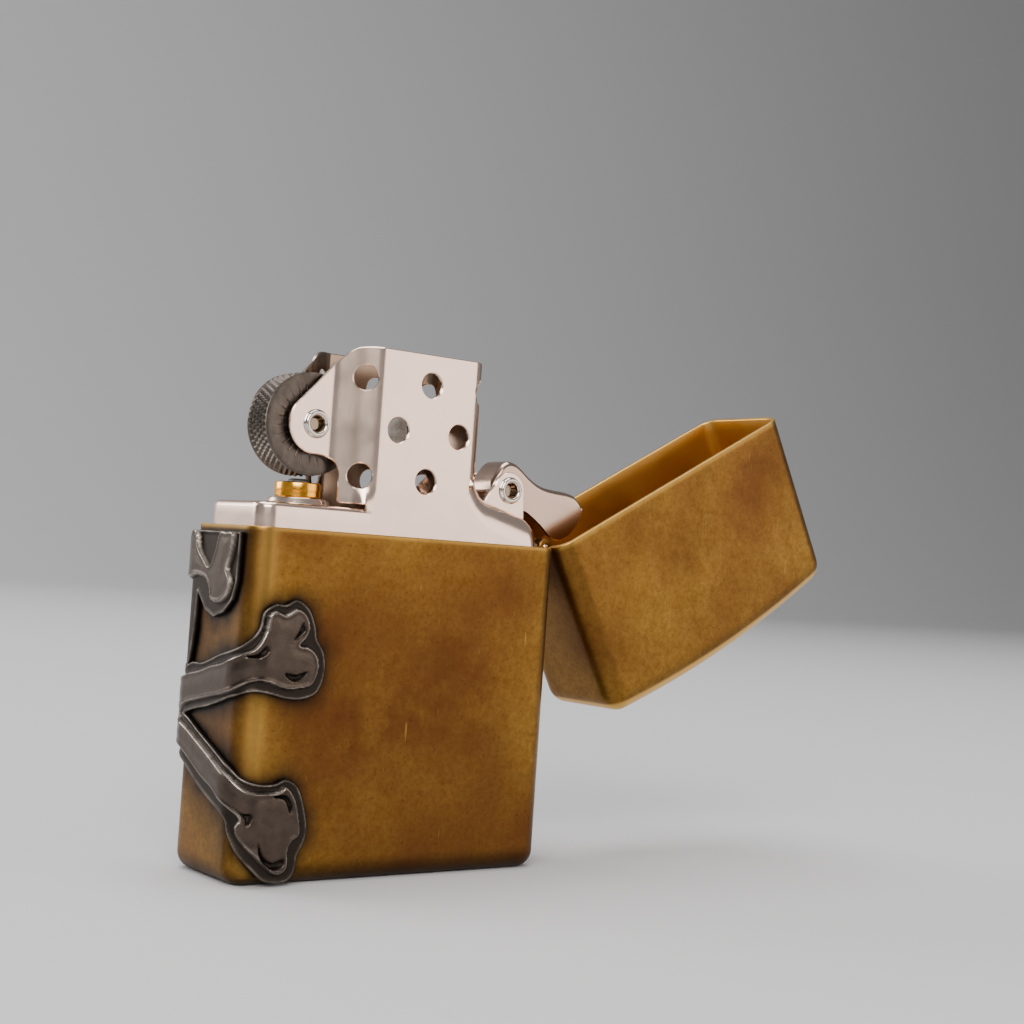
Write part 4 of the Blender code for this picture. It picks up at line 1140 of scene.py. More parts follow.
@dataclass
class Emblem:
    """A cast relief wrapped round the narrow side: crossed bones, a fork at the rim, a skull in front.

    Attributes:
        place: the layout.
        corner: radius of the case's upright corners.
        plate: height of the base plate's face over the case.
        relief: height of the raised faces.
        gap: space between the casting and the case.
        pitch: spacing of the grid.
        mirror: level of the first coordinate that the bones are mirrored about.
        skull: the middle of the skull.
        let_out: how far the raised faces reach past their outlines.
    """

    place: Layout
    corner: float = 2.2
    plate: float = 0.5
    relief: float = 1.0
    gap: float = 0.04
    pitch: float = 0.13
    mirror: float = -15.2
    skull: Point = (-26.0, 25.0)
    let_out: float = 0.1

    def plates(self) -> list[Array]:
        """Outlines of the base plate."""
        arms = [UPPER_ARM, LOWER_ARM, mirrored(UPPER_ARM, self.mirror), mirrored(LOWER_ARM, self.mirror)]
        return [closed_curve(line) for line in [*arms, SKULL]] + [np.array(TOP_FORK)]

    def reliefs(self) -> list[Array]:
        """Outlines of the raised faces."""
        arms = [UPPER_RELIEF, LOWER_RELIEF]
        arms += [mirrored(line, self.mirror) for line in arms]
        middle = np.array(self.skull)
        skull = [tuple(middle + (np.array(p) - middle) * 0.9) for p in SKULL]
        return [closed_curve(line) for line in [*arms, TOP_FORK_RELIEF, skull]]

    def engravings(self) -> list[Array]:
        """Outlines of the cut lines, eyes and nose."""
        lines = ENGRAVINGS + [mirrored(line, self.mirror) for line in ENGRAVINGS]
        lines += [EYE, mirrored(EYE, self.skull[0]), NOSE]
        return [closed_curve(line) for line in lines]

    def depth(self, s: Array, z: Array) -> Array:
        """Depth inside the base plate, the greatest over its outlines."""
        return np.max([depth_inside(s, z, line) for line in self.plates()], axis=0)

    def wrap(self, s: Array, z: Array, w: Array) -> Array:
        """A point of the flat emblem laid on the case, w outside its surface.

        s is an arc length: positive on the rear face, then the near corner's quarter circle, the
        narrow side, the far corner's quarter circle and the front face.

        Args:
            s: places along the case's outline.
            z: heights.
            w: distances outside the case's surface.

        Returns:
            (..., 3) points.
        """
        quarter = self.corner * math.pi / 2
        side = 2 * (self.place.case_half_y - self.corner)
        x0 = self.corner - self.place.case_half_x
        y0 = self.place.case_half_y - self.corner
        r = self.corner + w
        near = np.clip(-s / self.corner, 0, math.pi / 2)
        far = np.clip(-(s + quarter + side) / self.corner, 0, math.pi / 2)
        along = np.clip(-(s + quarter), 0, side)
        rear = s > -quarter - side / 2
        x = np.where(rear, x0 - r * np.sin(near), x0 - r * np.cos(far))
        y = np.where(rear, -y0 - r * np.cos(near) + along, y0 + r * np.sin(far) - (side - along))
        x = x + np.maximum(s, 0) + np.maximum(-(s + 2 * quarter + side), 0)
        return np.stack([x, y, z + 0 * x], -1)

    def build(self, finishes: Finishes) -> None:
        """Makes the casting as one height over the flat outline, then wraps it.

        Args:
            finishes: every finish.
        """
        raised = self.reliefs()
        cuts = self.engravings()

        def level(s: Array, z: Array) -> tuple[Array, Array]:
            """Depth inside the raised faces, let out a little, and depth inside the cut lines.

            Args:
                s, z: places in the flat.

            Returns:
                The two depths.
            """
            rise = np.max([depth_inside(s, z, line, 1.0) for line in raised], axis=0) + self.let_out
            groove = np.max([depth_inside(s, z, line, 1.0) for line in cuts], axis=0)
            return rise, groove

        def front(depth: Array, s: Array, z: Array) -> Array:
            """The outer face: plate and edge bead, raised step with lip and dome, less the cut lines.

            Args:
                depth: inside the base plate.
                s, z: places in the flat.

            Returns:
                The heights over the case.
            """
            rise, groove = level(s, z)
            bead = 0.12 * np.exp(-(((depth - 0.14) / 0.13) ** 2))
            step = smooth_step((rise + 0.05) / 0.22)
            lip = 0.06 * np.exp(-(((rise - 0.28) / 0.18) ** 2))
            dome = 0.06 * smooth_step(rise / 1.6)
            high = (self.relief - self.plate - 0.06) * step + (lip + dome) * step
            slot = 0.42 * smooth_step((groove + 0.05) / 0.2)
            return self.plate - 0.08 + bead * (1 - step) + high - slot

        def back(depth: Array, s: Array, z: Array) -> Array:
            """The inner face, a gap off the case."""
            return np.full(s.shape, self.gap)

        low = min(line[:, 0].min() for line in self.plates())
        s, z = even_grid((low - 0.3, 7.0), (0.2, 34.6), self.pitch)
        sheet = Sheet(self.depth, self.wrap, front, back, 0.07)
        emblem = sheet.build("emblem_casting", s, z, math.radians(50))
        flat = self.unwrap(points_of(emblem))
        depth = self.depth(flat[:, 0], flat[:, 1])
        rise, groove = level(flat[:, 0], flat[:, 1])
        cleared = 1 - smooth_step((groove + 0.12) / 0.12)
        paint(emblem, "face", smooth_step(rise / 0.2) * cleared)
        # Bright edges of the raised faces and the plate: rubbed metal, partly painted highlight
        rub_and_highlight = 0.85 * np.exp(-(((rise - 0.17) / 0.08) ** 2)) * cleared
        rub_and_highlight = np.maximum(rub_and_highlight, 0.5 * np.exp(-(((depth - 0.1) / 0.07) ** 2)) * (rise < 0.05))
        paint(emblem, "edge", rub_and_highlight)
        dress(emblem, finishes.pewter, "case", ["emblem"])

    def unwrap(self, points: Array) -> Array:
        """The flat place (s, z) of points on or near the case's outer wall.

        Args:
            points: (n, 3) points.

        Returns:
            (n, 2) places.
        """
        quarter = self.corner * math.pi / 2
        side = 2 * (self.place.case_half_y - self.corner)
        x0 = self.corner - self.place.case_half_x
        y0 = self.place.case_half_y - self.corner
        x, y, z = points.T
        near = np.arctan2(x0 - x, -y0 - y)
        far = np.arctan2(y - y0, x0 - x)
        s = np.where(y < -y0, -self.corner * np.clip(near, 0, math.pi / 2), -quarter - (y + y0))
        s = np.where(y > y0, -quarter - side - self.corner * np.clip(far, 0, math.pi / 2), s)
        s = np.where((x > x0) & (y < 0), x - x0, s)
        s = np.where((x > x0) & (y > 0), -2 * quarter - side - (x - x0), s)
        return np.column_stack([s, z])


@dataclass
class Case:
    """The brass bottom and the lid.

    Attributes:
        place: the layout.
        corner: radius of the upright corners.
        wall: thickness.
        foot_edge: radius of the edge round the bottom.
        crown_edge: radius of the edge round the lid's top.
        crown: how far the lid's top falls towards its short sides.
        pitch, lid_pitch: spacing of the grids of the bottom and of the lid.
        notch_half: half the width of the cut behind the hinge.
        notch_reach: how far the cut goes past the hinge's axis.
    """

    place: Layout
    corner: float = 2.2
    wall: float = 0.6
    foot_edge: float = 1.9
    crown_edge: float = 2.3
    crown: float = 1.25
    pitch: float = 0.36
    lid_pitch: float = 0.5
    notch_half: float = 4.22
    notch_reach: float = 1.3

    def cup(self, rim: float, end: float, edge: float, crown: float, pitch: float) -> DrawnCup:
        """A cup with the case's plan."""
        half_x, half_y = self.place.case_half_x, self.place.case_half_y
        return DrawnCup(half_x, half_y, self.corner, self.wall, edge, rim, end, crown, pitch)

    def notch(self, low: float, high: float) -> Piece:
        """The cut in the wall behind the hinge's knuckles."""
        x = self.place.case_half_x
        return block("notch", (x - 2 * self.wall, -self.notch_half, low), (x + 1, self.notch_half, high))

    def inner(self, points: Array) -> Array:
        """Which points lie inside the wall's middle, by distance from the plan's corner centres.

        Args:
            points: (n, 3) points.

        Returns:
            True for each point that does.
        """
        x = np.maximum(np.abs(points[:, 0]) - self.place.case_half_x + self.corner, 0)
        y = np.maximum(np.abs(points[:, 1]) - self.place.case_half_y + self.corner, 0)
        return np.hypot(x, y) < self.corner - self.wall / 2

    def build_bottom(self, finishes: Finishes, emblem: Emblem) -> None:
        """The case body, painted dark round the emblem, with painted shade on the narrow side and a painted
        highlight down its upright corner.

        Args:
            finishes: every finish.
            emblem: the casting on its side.
        """
        place = self.place
        bottom = self.cup(place.case_rim, 0.0, self.foot_edge, 0.0, self.pitch).build("case_shell")
        cut(bottom, [self.notch(place.hinge_z - self.notch_reach, place.case_rim + 1)])
        points = points_of(bottom)
        outside = ~self.inner(points)
        flat = emblem.unwrap(points)
        away = -emblem.depth(flat[:, 0], flat[:, 1])
        # Dark lies close round the casting everywhere; painted shade spreads wide over the narrow side
        close = np.exp(-np.maximum(away, 0) / 1.3)
        wide = np.exp(-np.maximum(away, 0) / 3.4) * smooth_step((-flat[:, 0] - 1.7) / 1.3)
        paint(bottom, "halo", np.maximum(close, wide) * outside)
        # A painted highlight down the upright corner, kept off the dark close round the casting
        strip = np.exp(-(((flat[:, 0] + 0.5) / 1.0) ** 2)) * (1 - close) * outside
        x, z = points[:, 0], points[:, 2]
        # Tarnish is deepest in a band across the middle and fades towards both ends
        ends = smooth_step((x + 17) / 7) * smooth_step((19 - x) / 12)
        middle = np.exp(-(((z - 17.5 - 0.25 * x) / 11) ** 2)) * ends
        paint(bottom, "bloom", middle * outside)
        rim = np.exp(-((place.case_rim - points[:, 2]) / 0.16))
        # The rim worn to clean metal, and the corner's painted highlight
        paint(bottom, "wear_and_highlight", np.maximum(0.6 * rim, 0.3 * strip))
        dress(bottom, finishes.brass, "case", ["case_body"])

    def build_lid(self, finishes: Finishes) -> None:
        """The lid, made shut and turned open about the hinge's axis.

        Args:
            finishes: every finish.
        """
        place = self.place
        rim = 2 * place.hinge_z - place.case_rim
        end = rim + place.lid_height
        lid = self.cup(rim, end, self.crown_edge, self.crown, self.lid_pitch).build("lid_shell")
        cut(lid, [self.notch(rim - 1, place.hinge_z + self.notch_reach)])
        points = points_of(lid)
        top = end - self.crown * (points[:, 0] / place.case_half_x) ** 2
        inner = self.inner(points) & (points[:, 2] < top - self.wall / 2)
        paint(lid, "wear_and_highlight", np.where(inner, 0.8, 0.6 * np.exp(-((points[:, 2] - rim) / 0.16))))
        self.open_up(lid)
        dress(lid, finishes.brass, "lid", ["lid"])

    def open_up(self, obj: Piece) -> None:
        """Turns a piece made in the shut place to the open one.

        Args:
            obj: the piece.
        """
        centre = Matrix.Translation((self.place.hinge_x * MM, 0, self.place.hinge_z * MM))
        turn = Matrix.Rotation(self.place.open_angle, 4, "Y")
        obj.data.transform(centre @ turn @ centre.inverted())


# ---- insert


@dataclass
class ChimneyLine:
    """The chimney sheet's outer line in plan, by distance from the middle of its hinge side.

    Attributes:
        half_y: half the chimney's depth.
        wall_x: where the hinge side stands.
        corner: radius of the two corners beside it.
        bend_from: where the sheet leaves the broad side.
        bend_to: where it reaches the wheel cheek.
        cheek_y: half the distance across the cheeks.
        cheek_end: where the line stops.
    """

    half_y: float
    wall_x: float = 8.4
    corner: float = 2.0
    bend_from: float = -4.7
    bend_to: float = -9.4
    cheek_y: float = 2.9
    cheek_end: float = -15.2

    def __post_init__(self) -> None:
        """Lays out the line: half the hinge side, corner arc, broad side, bend and cheek."""
        t = np.linspace(0, 1, 60)
        bend_x = self.bend_from + (self.bend_to - self.bend_from) * t
        bend_y = self.half_y + (self.cheek_y - self.half_y) * smooth_step(t)
        middle = (self.wall_x - self.corner, self.half_y - self.corner)
        line = [(self.wall_x, 0.0), *arc(middle, self.corner, 0, 90, 24)]
        line = np.array(line + list(zip(bend_x, bend_y)) + [(self.cheek_end, self.cheek_y)])
        self.distance = along(line)
        self.x, self.y = line.T
        self.flat_from = self.wall_x - self.corner

    def at(self, x: float) -> float:
        """The distance at which the broad side, bend or cheek passes x."""
        past = self.x <= self.flat_from + 1e-9
        return float(np.interp(-x, -self.x[past], self.distance[past]))

    def plan(self, s: Array) -> tuple[Array, Array]:
        """Plan coordinates; s is negative on the -Y side.

        Args:
            s: distances along the line.

        Returns:
            The x and the y.
        """
        x = np.interp(np.abs(s), self.distance, self.x)
        y = np.interp(np.abs(s), self.distance, self.y)
        return x, np.where(s < 0, -y, y)


@dataclass
class Insert:
    """The nickel insert: can, sloped roof, perforated chimney with wheel cheeks, and cam ears.

    Attributes:
        place: the layout.
        sheet: thickness.
        deck, deck_edge: height of the plate on the wheel's side, and its edge's radius.
        corner: radius of the can's upright corners.
        roof, roof_fall: height of the roof beside the chimney, and its fall for each millimetre.
        shoulder: width and drop of its rounded long sides.
        end: radius of its hinge end.
        fillet: radius against the chimney.
        foot: the chimney sheet's lower edge.
        slit, slit_end: top and end of the slit under the bend.
        hole, rivet_hole: radii of the chimney's holes and of the rivets' holes.
        rows: heights of the three rows of holes.
        ear_sheet, ear_y: thickness of the cam's ears, and how far they stand from the middle.
        cam_slot: low and high corners of the cut in the roof that the cam moves in.
        wick_bore, tube_bore: radii of the deck's two holes.
        line: the chimney's plan.
    """

    place: Layout
    sheet: float = 0.45
    deck: float = 37.6
    deck_edge: float = 0.6
    corner: float = 1.8
    roof: float = 40.4
    roof_fall: float = 0.275
    shoulder: Point = (3.0, 3.5)
    end: float = 2.0
    fillet: float = 2.4
    foot: float = 34.0
    slit: float = 38.1
    slit_end: float = -5.9
    hole: float = 1.3
    rivet_hole: float = 0.95
    rows: Place = (51.1, 46.05, 41.0)
    ear_sheet: float = 0.5
    ear_y: float = 2.75
    cam_slot: tuple[Place, Place] = ((10.4, -2.3, 35), (15.9, 2.3, 42))
    wick_bore: float = 1.7
    tube_bore: float = 1.85
    line: ChimneyLine = field(init=False)

    def __post_init__(self) -> None:
        """Lays out the chimney's line."""
        self.line = ChimneyLine(self.place.insert_half_y)

    def build(self, finishes: Finishes) -> None:
        """Builds the can, chimney, ears and tube boss.

        Args:
            finishes: every finish.
        """
        can = self.build_can()
        others = [self.build_chimney(), self.build_ear(-1), self.build_ear(1), self.build_boss()]
        dress(can, finishes.nickel, "insert", ["insert_shell"])
        for piece in others:
            dress(piece, finishes.nickel, "insert")

    def side_outline(self) -> Array:
        """The chimney's outline as (distance, height): foot, slit, cheek, sloping edge and top.

        Returns:
            (n, 2) array.
        """
        wheel_x, wheel_z = self.place.wheel_x, self.place.wheel_z
        top = self.place.chimney_top
        cheek = arc((wheel_x, wheel_z), 3.1, -82, -232, 24)
        side = [(self.slit_end, self.foot), (self.slit_end, self.slit), (-8.2, self.slit), (-8.2, 41.3)]
        side += [(-8.6, 42.3), (-9.5, 42.7), *cheek, (-8.0, 53.6), (-7.2, 54.15), (-6.2, top)]
        line = [(self.line.at(x), z) for x, z in side]
        line += [(-5.0, top), (-5.0, 39.3), (6.0, 39.0), (6.0, self.foot)]
        return np.array(rounded_corners(line, 0.35, 3))

    def holes(self) -> list[Point]:
        """Hole centres as (distance, height): two on the bend, four in the flat, two on the corner.

        Returns:
            The centres.
        """
        top, middle, bottom = self.rows
        line = self.line
        flat = [(1.2, top), (1.2, bottom), (-2.65, middle), (5.05, middle), (-6.5, top), (-6.5, bottom)]
        around = line.half_y - line.corner + line.corner * math.radians(40)
        return [(line.at(x), z) for x, z in flat] + [(around, top), (around, bottom)]

    def build_chimney(self) -> Piece:
        """The chimney as a flat sheet with holes, bent round its plan line.

        Returns:
            The piece, with painted shade on its inner face and a painted reflection streak down the bend.
        """
        outline = self.side_outline()
        holes = self.holes()
        line = self.line
        axle = line.at(self.place.wheel_x)

        def inside(s: Array, z: Array) -> Array:
            """Depth inside the outline and outside every hole.

            Args:
                s, z: places on the sheet.

            Returns:
                The depths.
            """
            a = np.abs(s)
            clear = [np.hypot(a - x, z - h) - self.hole for x, h in holes]
            clear.append(np.hypot(a - axle, z - self.place.wheel_z) - self.rivet_hole)
            return np.minimum(depth_inside(a, z, outline), np.min(clear, axis=0))

        def plan(s: Array, z: Array) -> tuple[Array, Array]:
            """The plan, eased from the bend to the flush broad side below the deck.

            Args:
                s, z: places on the sheet.

            Returns:
                The x and the y.
            """
            x, y = line.plan(s)
            free = smooth_step((self.slit_end - x) / 1.1)
            bent = free + (1 - free) * smooth_step((z - self.deck) / 2.6)
            flush = np.copysign(line.half_y, y)
            return x, np.where(x < line.bend_from, flush + (y - flush) * bent, y)

        def surface(s: Array, z: Array, w: Array) -> Array:
            """The point moved w along the plan's normal.

            Args:
                s, z: places on the sheet.
                w: distances outside the line.

            Returns:
                (..., 3) points.
            """
            x, y = plan(s, z)
            (x0, y0), (x1, y1) = plan(s - 0.2, z), plan(s + 0.2, z)
            length = np.hypot(x1 - x0, y1 - y0)
            return np.stack([x + w * (y1 - y0) / length, y - w * (x1 - x0) / length, z], -1)

        def front(depth: Array, s: Array, z: Array) -> Array:
            """The outer face, set back a little inside the can and beside the slit.

            Args:
                depth: inside the sheet; not used.
                s, z: places on it.

            Returns:
                The distances outside the line.
            """
            x = line.plan(s)[0]
            under = smooth_step((self.foot + 1 - z) / 1.0)
            beside = smooth_step((self.slit_end + 0.9 - x) / 0.9) * smooth_step((self.deck - 0.1 - z) / 0.5)
            return 0.008 - 0.05 * np.maximum(under, beside)

        def back(depth: Array, s: Array, z: Array) -> Array:
            """The inner face."""
            return np.full(s.shape, -self.sheet)

        reach = line.distance[-1]
        s, z = even_grid((-reach, reach), (self.foot - 0.2, self.place.chimney_top + 0.2), 0.15)
        chimney = Sheet(inside, surface, front, back, 0.1).build("insert_chimney", s, z)
        # Painted shade on the sheet's inner face, which lies inside the wall's line
        x, y, z = points_of(chimney).T
        flat = line.x <= line.flat_from
        wall = np.interp(-x, -line.x[flat], line.y[flat])
        round_off = np.sqrt(np.maximum(line.corner**2 - (x - line.flat_from) ** 2, 0))
        wall = np.where(x > line.flat_from, round_off, wall)
        wall = wall + np.where(x > line.flat_from, line.half_y - line.corner, 0)
        # A brown streak down the bend, a painted reflection of the brass collar
        streak = 0.3 * np.exp(-(((x + 7.0) / 0.4) ** 2)) * smooth_step((z - 39) / 3)
        paint(chimney, "shade_and_reflection", np.maximum(0.8 * smooth_step((wall - np.abs(y) - 0.25) / 0.15), streak))
        return chimney

    def roof_height(self, x: Array, y: Array) -> Array:
        """Height of the sloped roof.

        It is a crown that falls towards the hinge, less a quarter ellipse towards the sides and the
        hinge end, plus a concave quarter circle against the chimney's wall.

        Args:
            x, y: the coordinates.

        Returns:
            The heights.
        """
        line = self.line
        width, drop = self.shoulder
        across = np.maximum(np.abs(y) - line.half_y + width, 0) / width
        endwise = np.maximum(x - self.place.insert_x[1] + self.end, 0) / self.end
        both = np.minimum(np.hypot(across, endwise), 1)
        share = across**2 / np.maximum(across**2 + endwise**2, 1e-9)
        fall = (drop * share + self.end * (1 - share)) * (1 - np.sqrt(1 - both**2))
        out_x = np.maximum(x - line.wall_x + line.corner, 0)
        out_y = np.maximum(np.abs(y) - line.half_y + line.corner, 0)
        away = np.maximum(np.hypot(out_x, out_y) - line.corner, 0)
        away = np.where(out_y > 0, away, np.maximum(x - line.wall_x, 0))
        near = np.clip(1 - away / self.fillet, 0, 1)
        rise = self.fillet * (1 - np.sqrt(1 - near**2))
        return self.roof - self.roof_fall * (x - line.wall_x) - fall + rise

    def build_can(self) -> Piece:
        """Walls from the foot up, the deck on the left and the roof on the right, as three grids.

        Returns:
            The can, open below, with its slot and two holes cut.
        """
        line = self.line
        x_low, x_high = self.place.insert_x
        half_y, r, split = line.half_y, self.corner, line.flat_from
        right = [(split, -half_y), *arc((x_high - r, r - half_y), r, -90, 0, 16)]
        right += [(x, -y) for x, y in reversed(right)]
        left = [(split, half_y), *arc((x_low + r, half_y - r), r, 90, 180, 16)]
        left += [(x, -y) for x, y in reversed(left)]
        wall = [(split, -half_y), *arc((split, line.corner - half_y), line.corner, -90, 0, 16)]
        wall += [(x, -y) for x, y in reversed(wall)]
        rings = zip((right, left, wall), (181, 241, 181))
        right, left, wall = (evenly(np.array(ring), count) for ring, count in rings)

        t = (1 - np.cos(np.pi * np.linspace(0, 1, 49))) / 2
        roof = right[None] + (wall - right)[None] * t[:, None, None]
        roof = np.concatenate([roof, self.roof_height(roof[..., 0], roof[..., 1])[..., None]], -1)
        middle = np.stack([np.clip(left[:, 0], x_low + 4, split), 0 * left[:, 1]], -1)
        edge = self.deck_edge * (1 - np.cos(np.linspace(0, math.pi / 2, 8)))
        inset = np.concatenate([edge, np.linspace(self.deck_edge, half_y, 8)[1:]])
        deck = left[None] + (middle - left)[None] * (inset / half_y)[:, None, None]
        short = np.clip(1 - inset / self.deck_edge, 0, 1)
        deck_z = self.deck - self.deck_edge * (1 - np.sqrt(1 - short**2))
        deck = np.concatenate([deck, np.broadcast_to(deck_z[:, None, None], (*deck.shape[:2], 1))], -1)

        def walls(ring: Array, low: Array | float, high: Array | float, count: int) -> Array:
            """A wall on the ring between two heights, in count rows.

            Args:
                ring: (n, 2) points.
                low, high: the heights.
                count: how many rows.

            Returns:
                (count, n, 3) points.
            """
            rise = np.linspace(0, 1, count)[:, None]
            z = low + (high - low) * rise + 0 * ring[None, :, 0]
            return np.concatenate([np.broadcast_to(ring[None], (count, *ring.shape)), z[..., None]], -1)

        grids = [roof, deck]
        grids += [walls(ring, self.place.insert_base, self.foot, 16) for ring in (left, right)]
        grids += [walls(left, self.foot, self.deck - self.deck_edge, 4)]
        grids += [walls(right, self.foot, roof[0, :, 2], 6)]
        points, faces, count = [], [], 0
        for grid in grids:
            points.append(grid.reshape(-1, 3))
            faces.append(grid_faces(*grid.shape[:2]) + count)
            count += len(points[-1])
        can = thickened(mesh_piece("insert_can", np.concatenate(points), np.concatenate(faces)), self.sheet)
        slot = block("slot", *self.cam_slot)
        wick = self.drill("wick_hole", 1.2, self.wick_bore)
        tube = self.drill("tube_hole", self.place.flint_x, self.tube_bore)
        return cut(can, [slot, wick, tube])

    def drill(self, name: str, x: float, bore: float) -> Piece:
        """A round tool that goes through the deck."""
        return lathe(name, [(0, 0), (bore, 0), (bore, 4), (0, 4)], (x, 0, 35.5))

    def build_ear(self, sign: int) -> Piece:
        """One ear of the cam's bracket, a plate that ends below the roof.

        Args:
            sign: -1 for the near side, 1 for the far one.

        Returns:
            The ear.
        """
        x, z = self.place.cam_x, self.place.cam_z
        crown = arc((x - 0.1, z), 2.0, 5, 165, 20)
        outline = np.array([(16.5, 37.0), (16.3, 39.6), *crown, (11.6, 40.8), (11.0, 39.9), (10.6, 37.0)])
        sheet = plate(
            self.ear_sheet,
            lambda u, v: np.minimum(depth_inside(u, v, outline), np.hypot(u - x, v - z) - self.rivet_hole),
            lambda u, v, w: np.stack([u, sign * self.ear_y + w, v], -1),
        )
        u, v = even_grid((10.4, 16.8), (36.9, z + 2.2), 0.14)
        return sheet.build(f"insert_ear_{'near' if sign < 0 else 'far'}", u, v)

    def build_boss(self) -> Piece:
        """The low round step on the deck that the flint tube's collar sits on.

        Returns:
            The step.
        """
        low, high = self.deck - 0.2, 38.28
        foot = [(3.75, self.deck), (3.45, self.deck + 0.08), (3.28, self.deck + 0.3)]
        bore = self.tube_bore
        profile = [(bore, low), (3.75, low), *foot, (3.2, high - 0.12), (3.08, high), (bore, high)]
        return lathe("insert_boss", profile, (self.place.flint_x, 0, 0), tube=True)


@dataclass
class Rivet:
    """A rivet across the insert, with a rolled head and a blind bore at each end.

    Attributes:
        name: the node that it stands for.
        x, z: its axis.
        grip: half the distance between the outer faces that it holds.
        bore: radius of the bores.
        head: radius of the heads.
    """

    name: str
    x: float
    z: float
    grip: float
    bore: float = 0.78
    head: float = 1.5

    def build(self, finishes: Finishes) -> None:
        """Turns the rivet: flat-bottomed bore, rolled lip, head and shank, and the same mirrored.

        Args:
            finishes: every finish.
        """
        face = self.grip + 0.05
        roll = arc((self.bore + 0.36, face + 0.08), 0.3, 180, 20, 10)
        near = [(0.0, face - 0.58), (self.bore - 0.2, face - 0.55), (self.bore, face - 0.2), *roll]
        near += [(self.head - 0.1, face + 0.08), (self.head, face), (self.bore + 0.1, face - 0.02)]
        half = near + [(self.bore + 0.1, 0.0)]
        profile = half + [(r, -h) for r, h in reversed(half[:-1])]
        rivet = lathe(f"{self.name}_tube", profile, (self.x, 0, self.z), Axis.ALONG_Y, 48)
        x, y, z = points_of(rivet).T
        inner = np.hypot(x - self.x, z - self.z) < self.bore + 0.02
        # Painted shade in the bores
        paint(rivet, "shade_and_reflection", 0.85 * (inner & (np.abs(y) < face - 0.1)))
        dress(rivet, finishes.rivet, "insert", [self.name])


@dataclass
class Wheel:
    """The knurled steel wheel.

    Attributes:
        place: the layout.
        teeth: ridges round the rim.
        ridge: depth of the ridges.
        cross: depth of the finer cuts that cross them.
        nicks: radial marks on each side face.
        nick_depth: how deep they are.
    """

    place: Layout
    teeth: int = 52
    ridge: float = 0.26
    cross: float = 0.2
    nicks: int = 26
    nick_depth: float = 0.07

    def build(self, finishes: Finishes) -> None:
        """Turns the wheel; the rim's radius is the outer radius less two crossing triangle waves.

        Args:
            finishes: every finish.
        """
        place = self.place
        outer, half = place.wheel_r, place.wheel_half

        def wave(turns: Array) -> Array:
            """A triangle wave from 1 to 0 and back in each turn."""
            return np.abs((turns % 1) * 2 - 1)

        def knurl(h: Array, a: Array) -> Array:
            """Two leaning waves on the rim, faded out at its edges, and a small step beside it.

            Args:
                h: heights along the axle.
                a: angles round it.

            Returns:
                The changes in radius.
            """
            rim = smooth_step((half - 0.25 - np.abs(h)) / 0.2)
            lean = wave(self.teeth * a / TAU + 1.3 * h / half)
            over = wave(self.teeth * a / TAU - 1.7 * h / half)
            beside = (1 - rim) * (np.abs(h) < half - 0.01)
            return -(self.ridge * lean + self.cross * over) * rim - 0.12 * beside

        rows = [(outer, h) for h in np.linspace(half - 0.05, 0.05 - half, 41)]
        face = [(0.98, half - 0.03), (1.05, half), *[(r, half) for r in (3.0, 3.1, 3.2, 3.75, 3.85, 3.95)]]
        face += [(outer - 0.55, half)]
        profile = face + [(outer - 0.3, half - 0.01)] + rows
        profile += [(outer - 0.3, 0.01 - half)] + [(r, -h) for r, h in reversed(face)]

        def swell(h: Array, a: Array) -> Array:
            """The knurl, kept off the side faces."""
            return np.where(np.abs(h) < half - 0.04, knurl(h, a), 0)

        centre = (place.wheel_x, 0, place.wheel_z)
        wheel = lathe("flint_wheel_steel", profile, centre, Axis.ALONG_Y, self.teeth * 10, True, swell)
        self.nick(wheel)
        dress(wheel, finishes.steel, "wheel", ["flint_wheel"])

    def nick(self, wheel: Piece) -> None:
        """Presses short radial nicks into both side faces.

        Args:
            wheel: the turned wheel.
        """
        place = self.place
        points = points_of(wheel)
        x, z = points[:, 0] - place.wheel_x, points[:, 2] - place.wheel_z
        r, turns = np.hypot(x, z), np.arctan2(z, x) / TAU * self.nicks
        band = smooth_step((r - 3.02) / 0.1) * smooth_step((3.93 - r) / 0.1)
        line = smooth_step((0.07 - np.abs(turns % 1 - 0.5)) / 0.05)
        deep = self.nick_depth * band * line * (np.abs(points[:, 1]) > place.wheel_half - 0.02)
        points[:, 1] -= np.sign(points[:, 1]) * deep
        wheel.data.vertices.foreach_set("co", (points * MM).ravel().astype(np.float32))
        wheel.data.update()


# The cam's edges about its pivot with the lid open
CAM_TOP = [
    (-2.0, 0.0), (-1.9, 0.7), (-1.1, 2.0), (-0.4, 2.95), (0.4, 3.35), (1.4, 3.15), (2.3, 2.6), (3.2, 1.9),
    (4.4, 1.2), (5.6, 0.78), (7.3, 0.6), (9.0, 0.5), (10.2, 0.2), (10.9, -0.4), (11.2, -1.2),
]
CAM_FOOT = [
    (-2.0, -0.1), (-1.8, -0.9), (-0.8, -1.8), (1.0, -1.9), (2.9, -2.1), (4.3, -2.9), (5.6, -3.8), (6.5, -4.7),
    (7.3, -5.05), (8.1, -5.1), (9.5, -4.4), (10.6, -3.0), (11.1, -1.9), (11.2, -1.3),
]


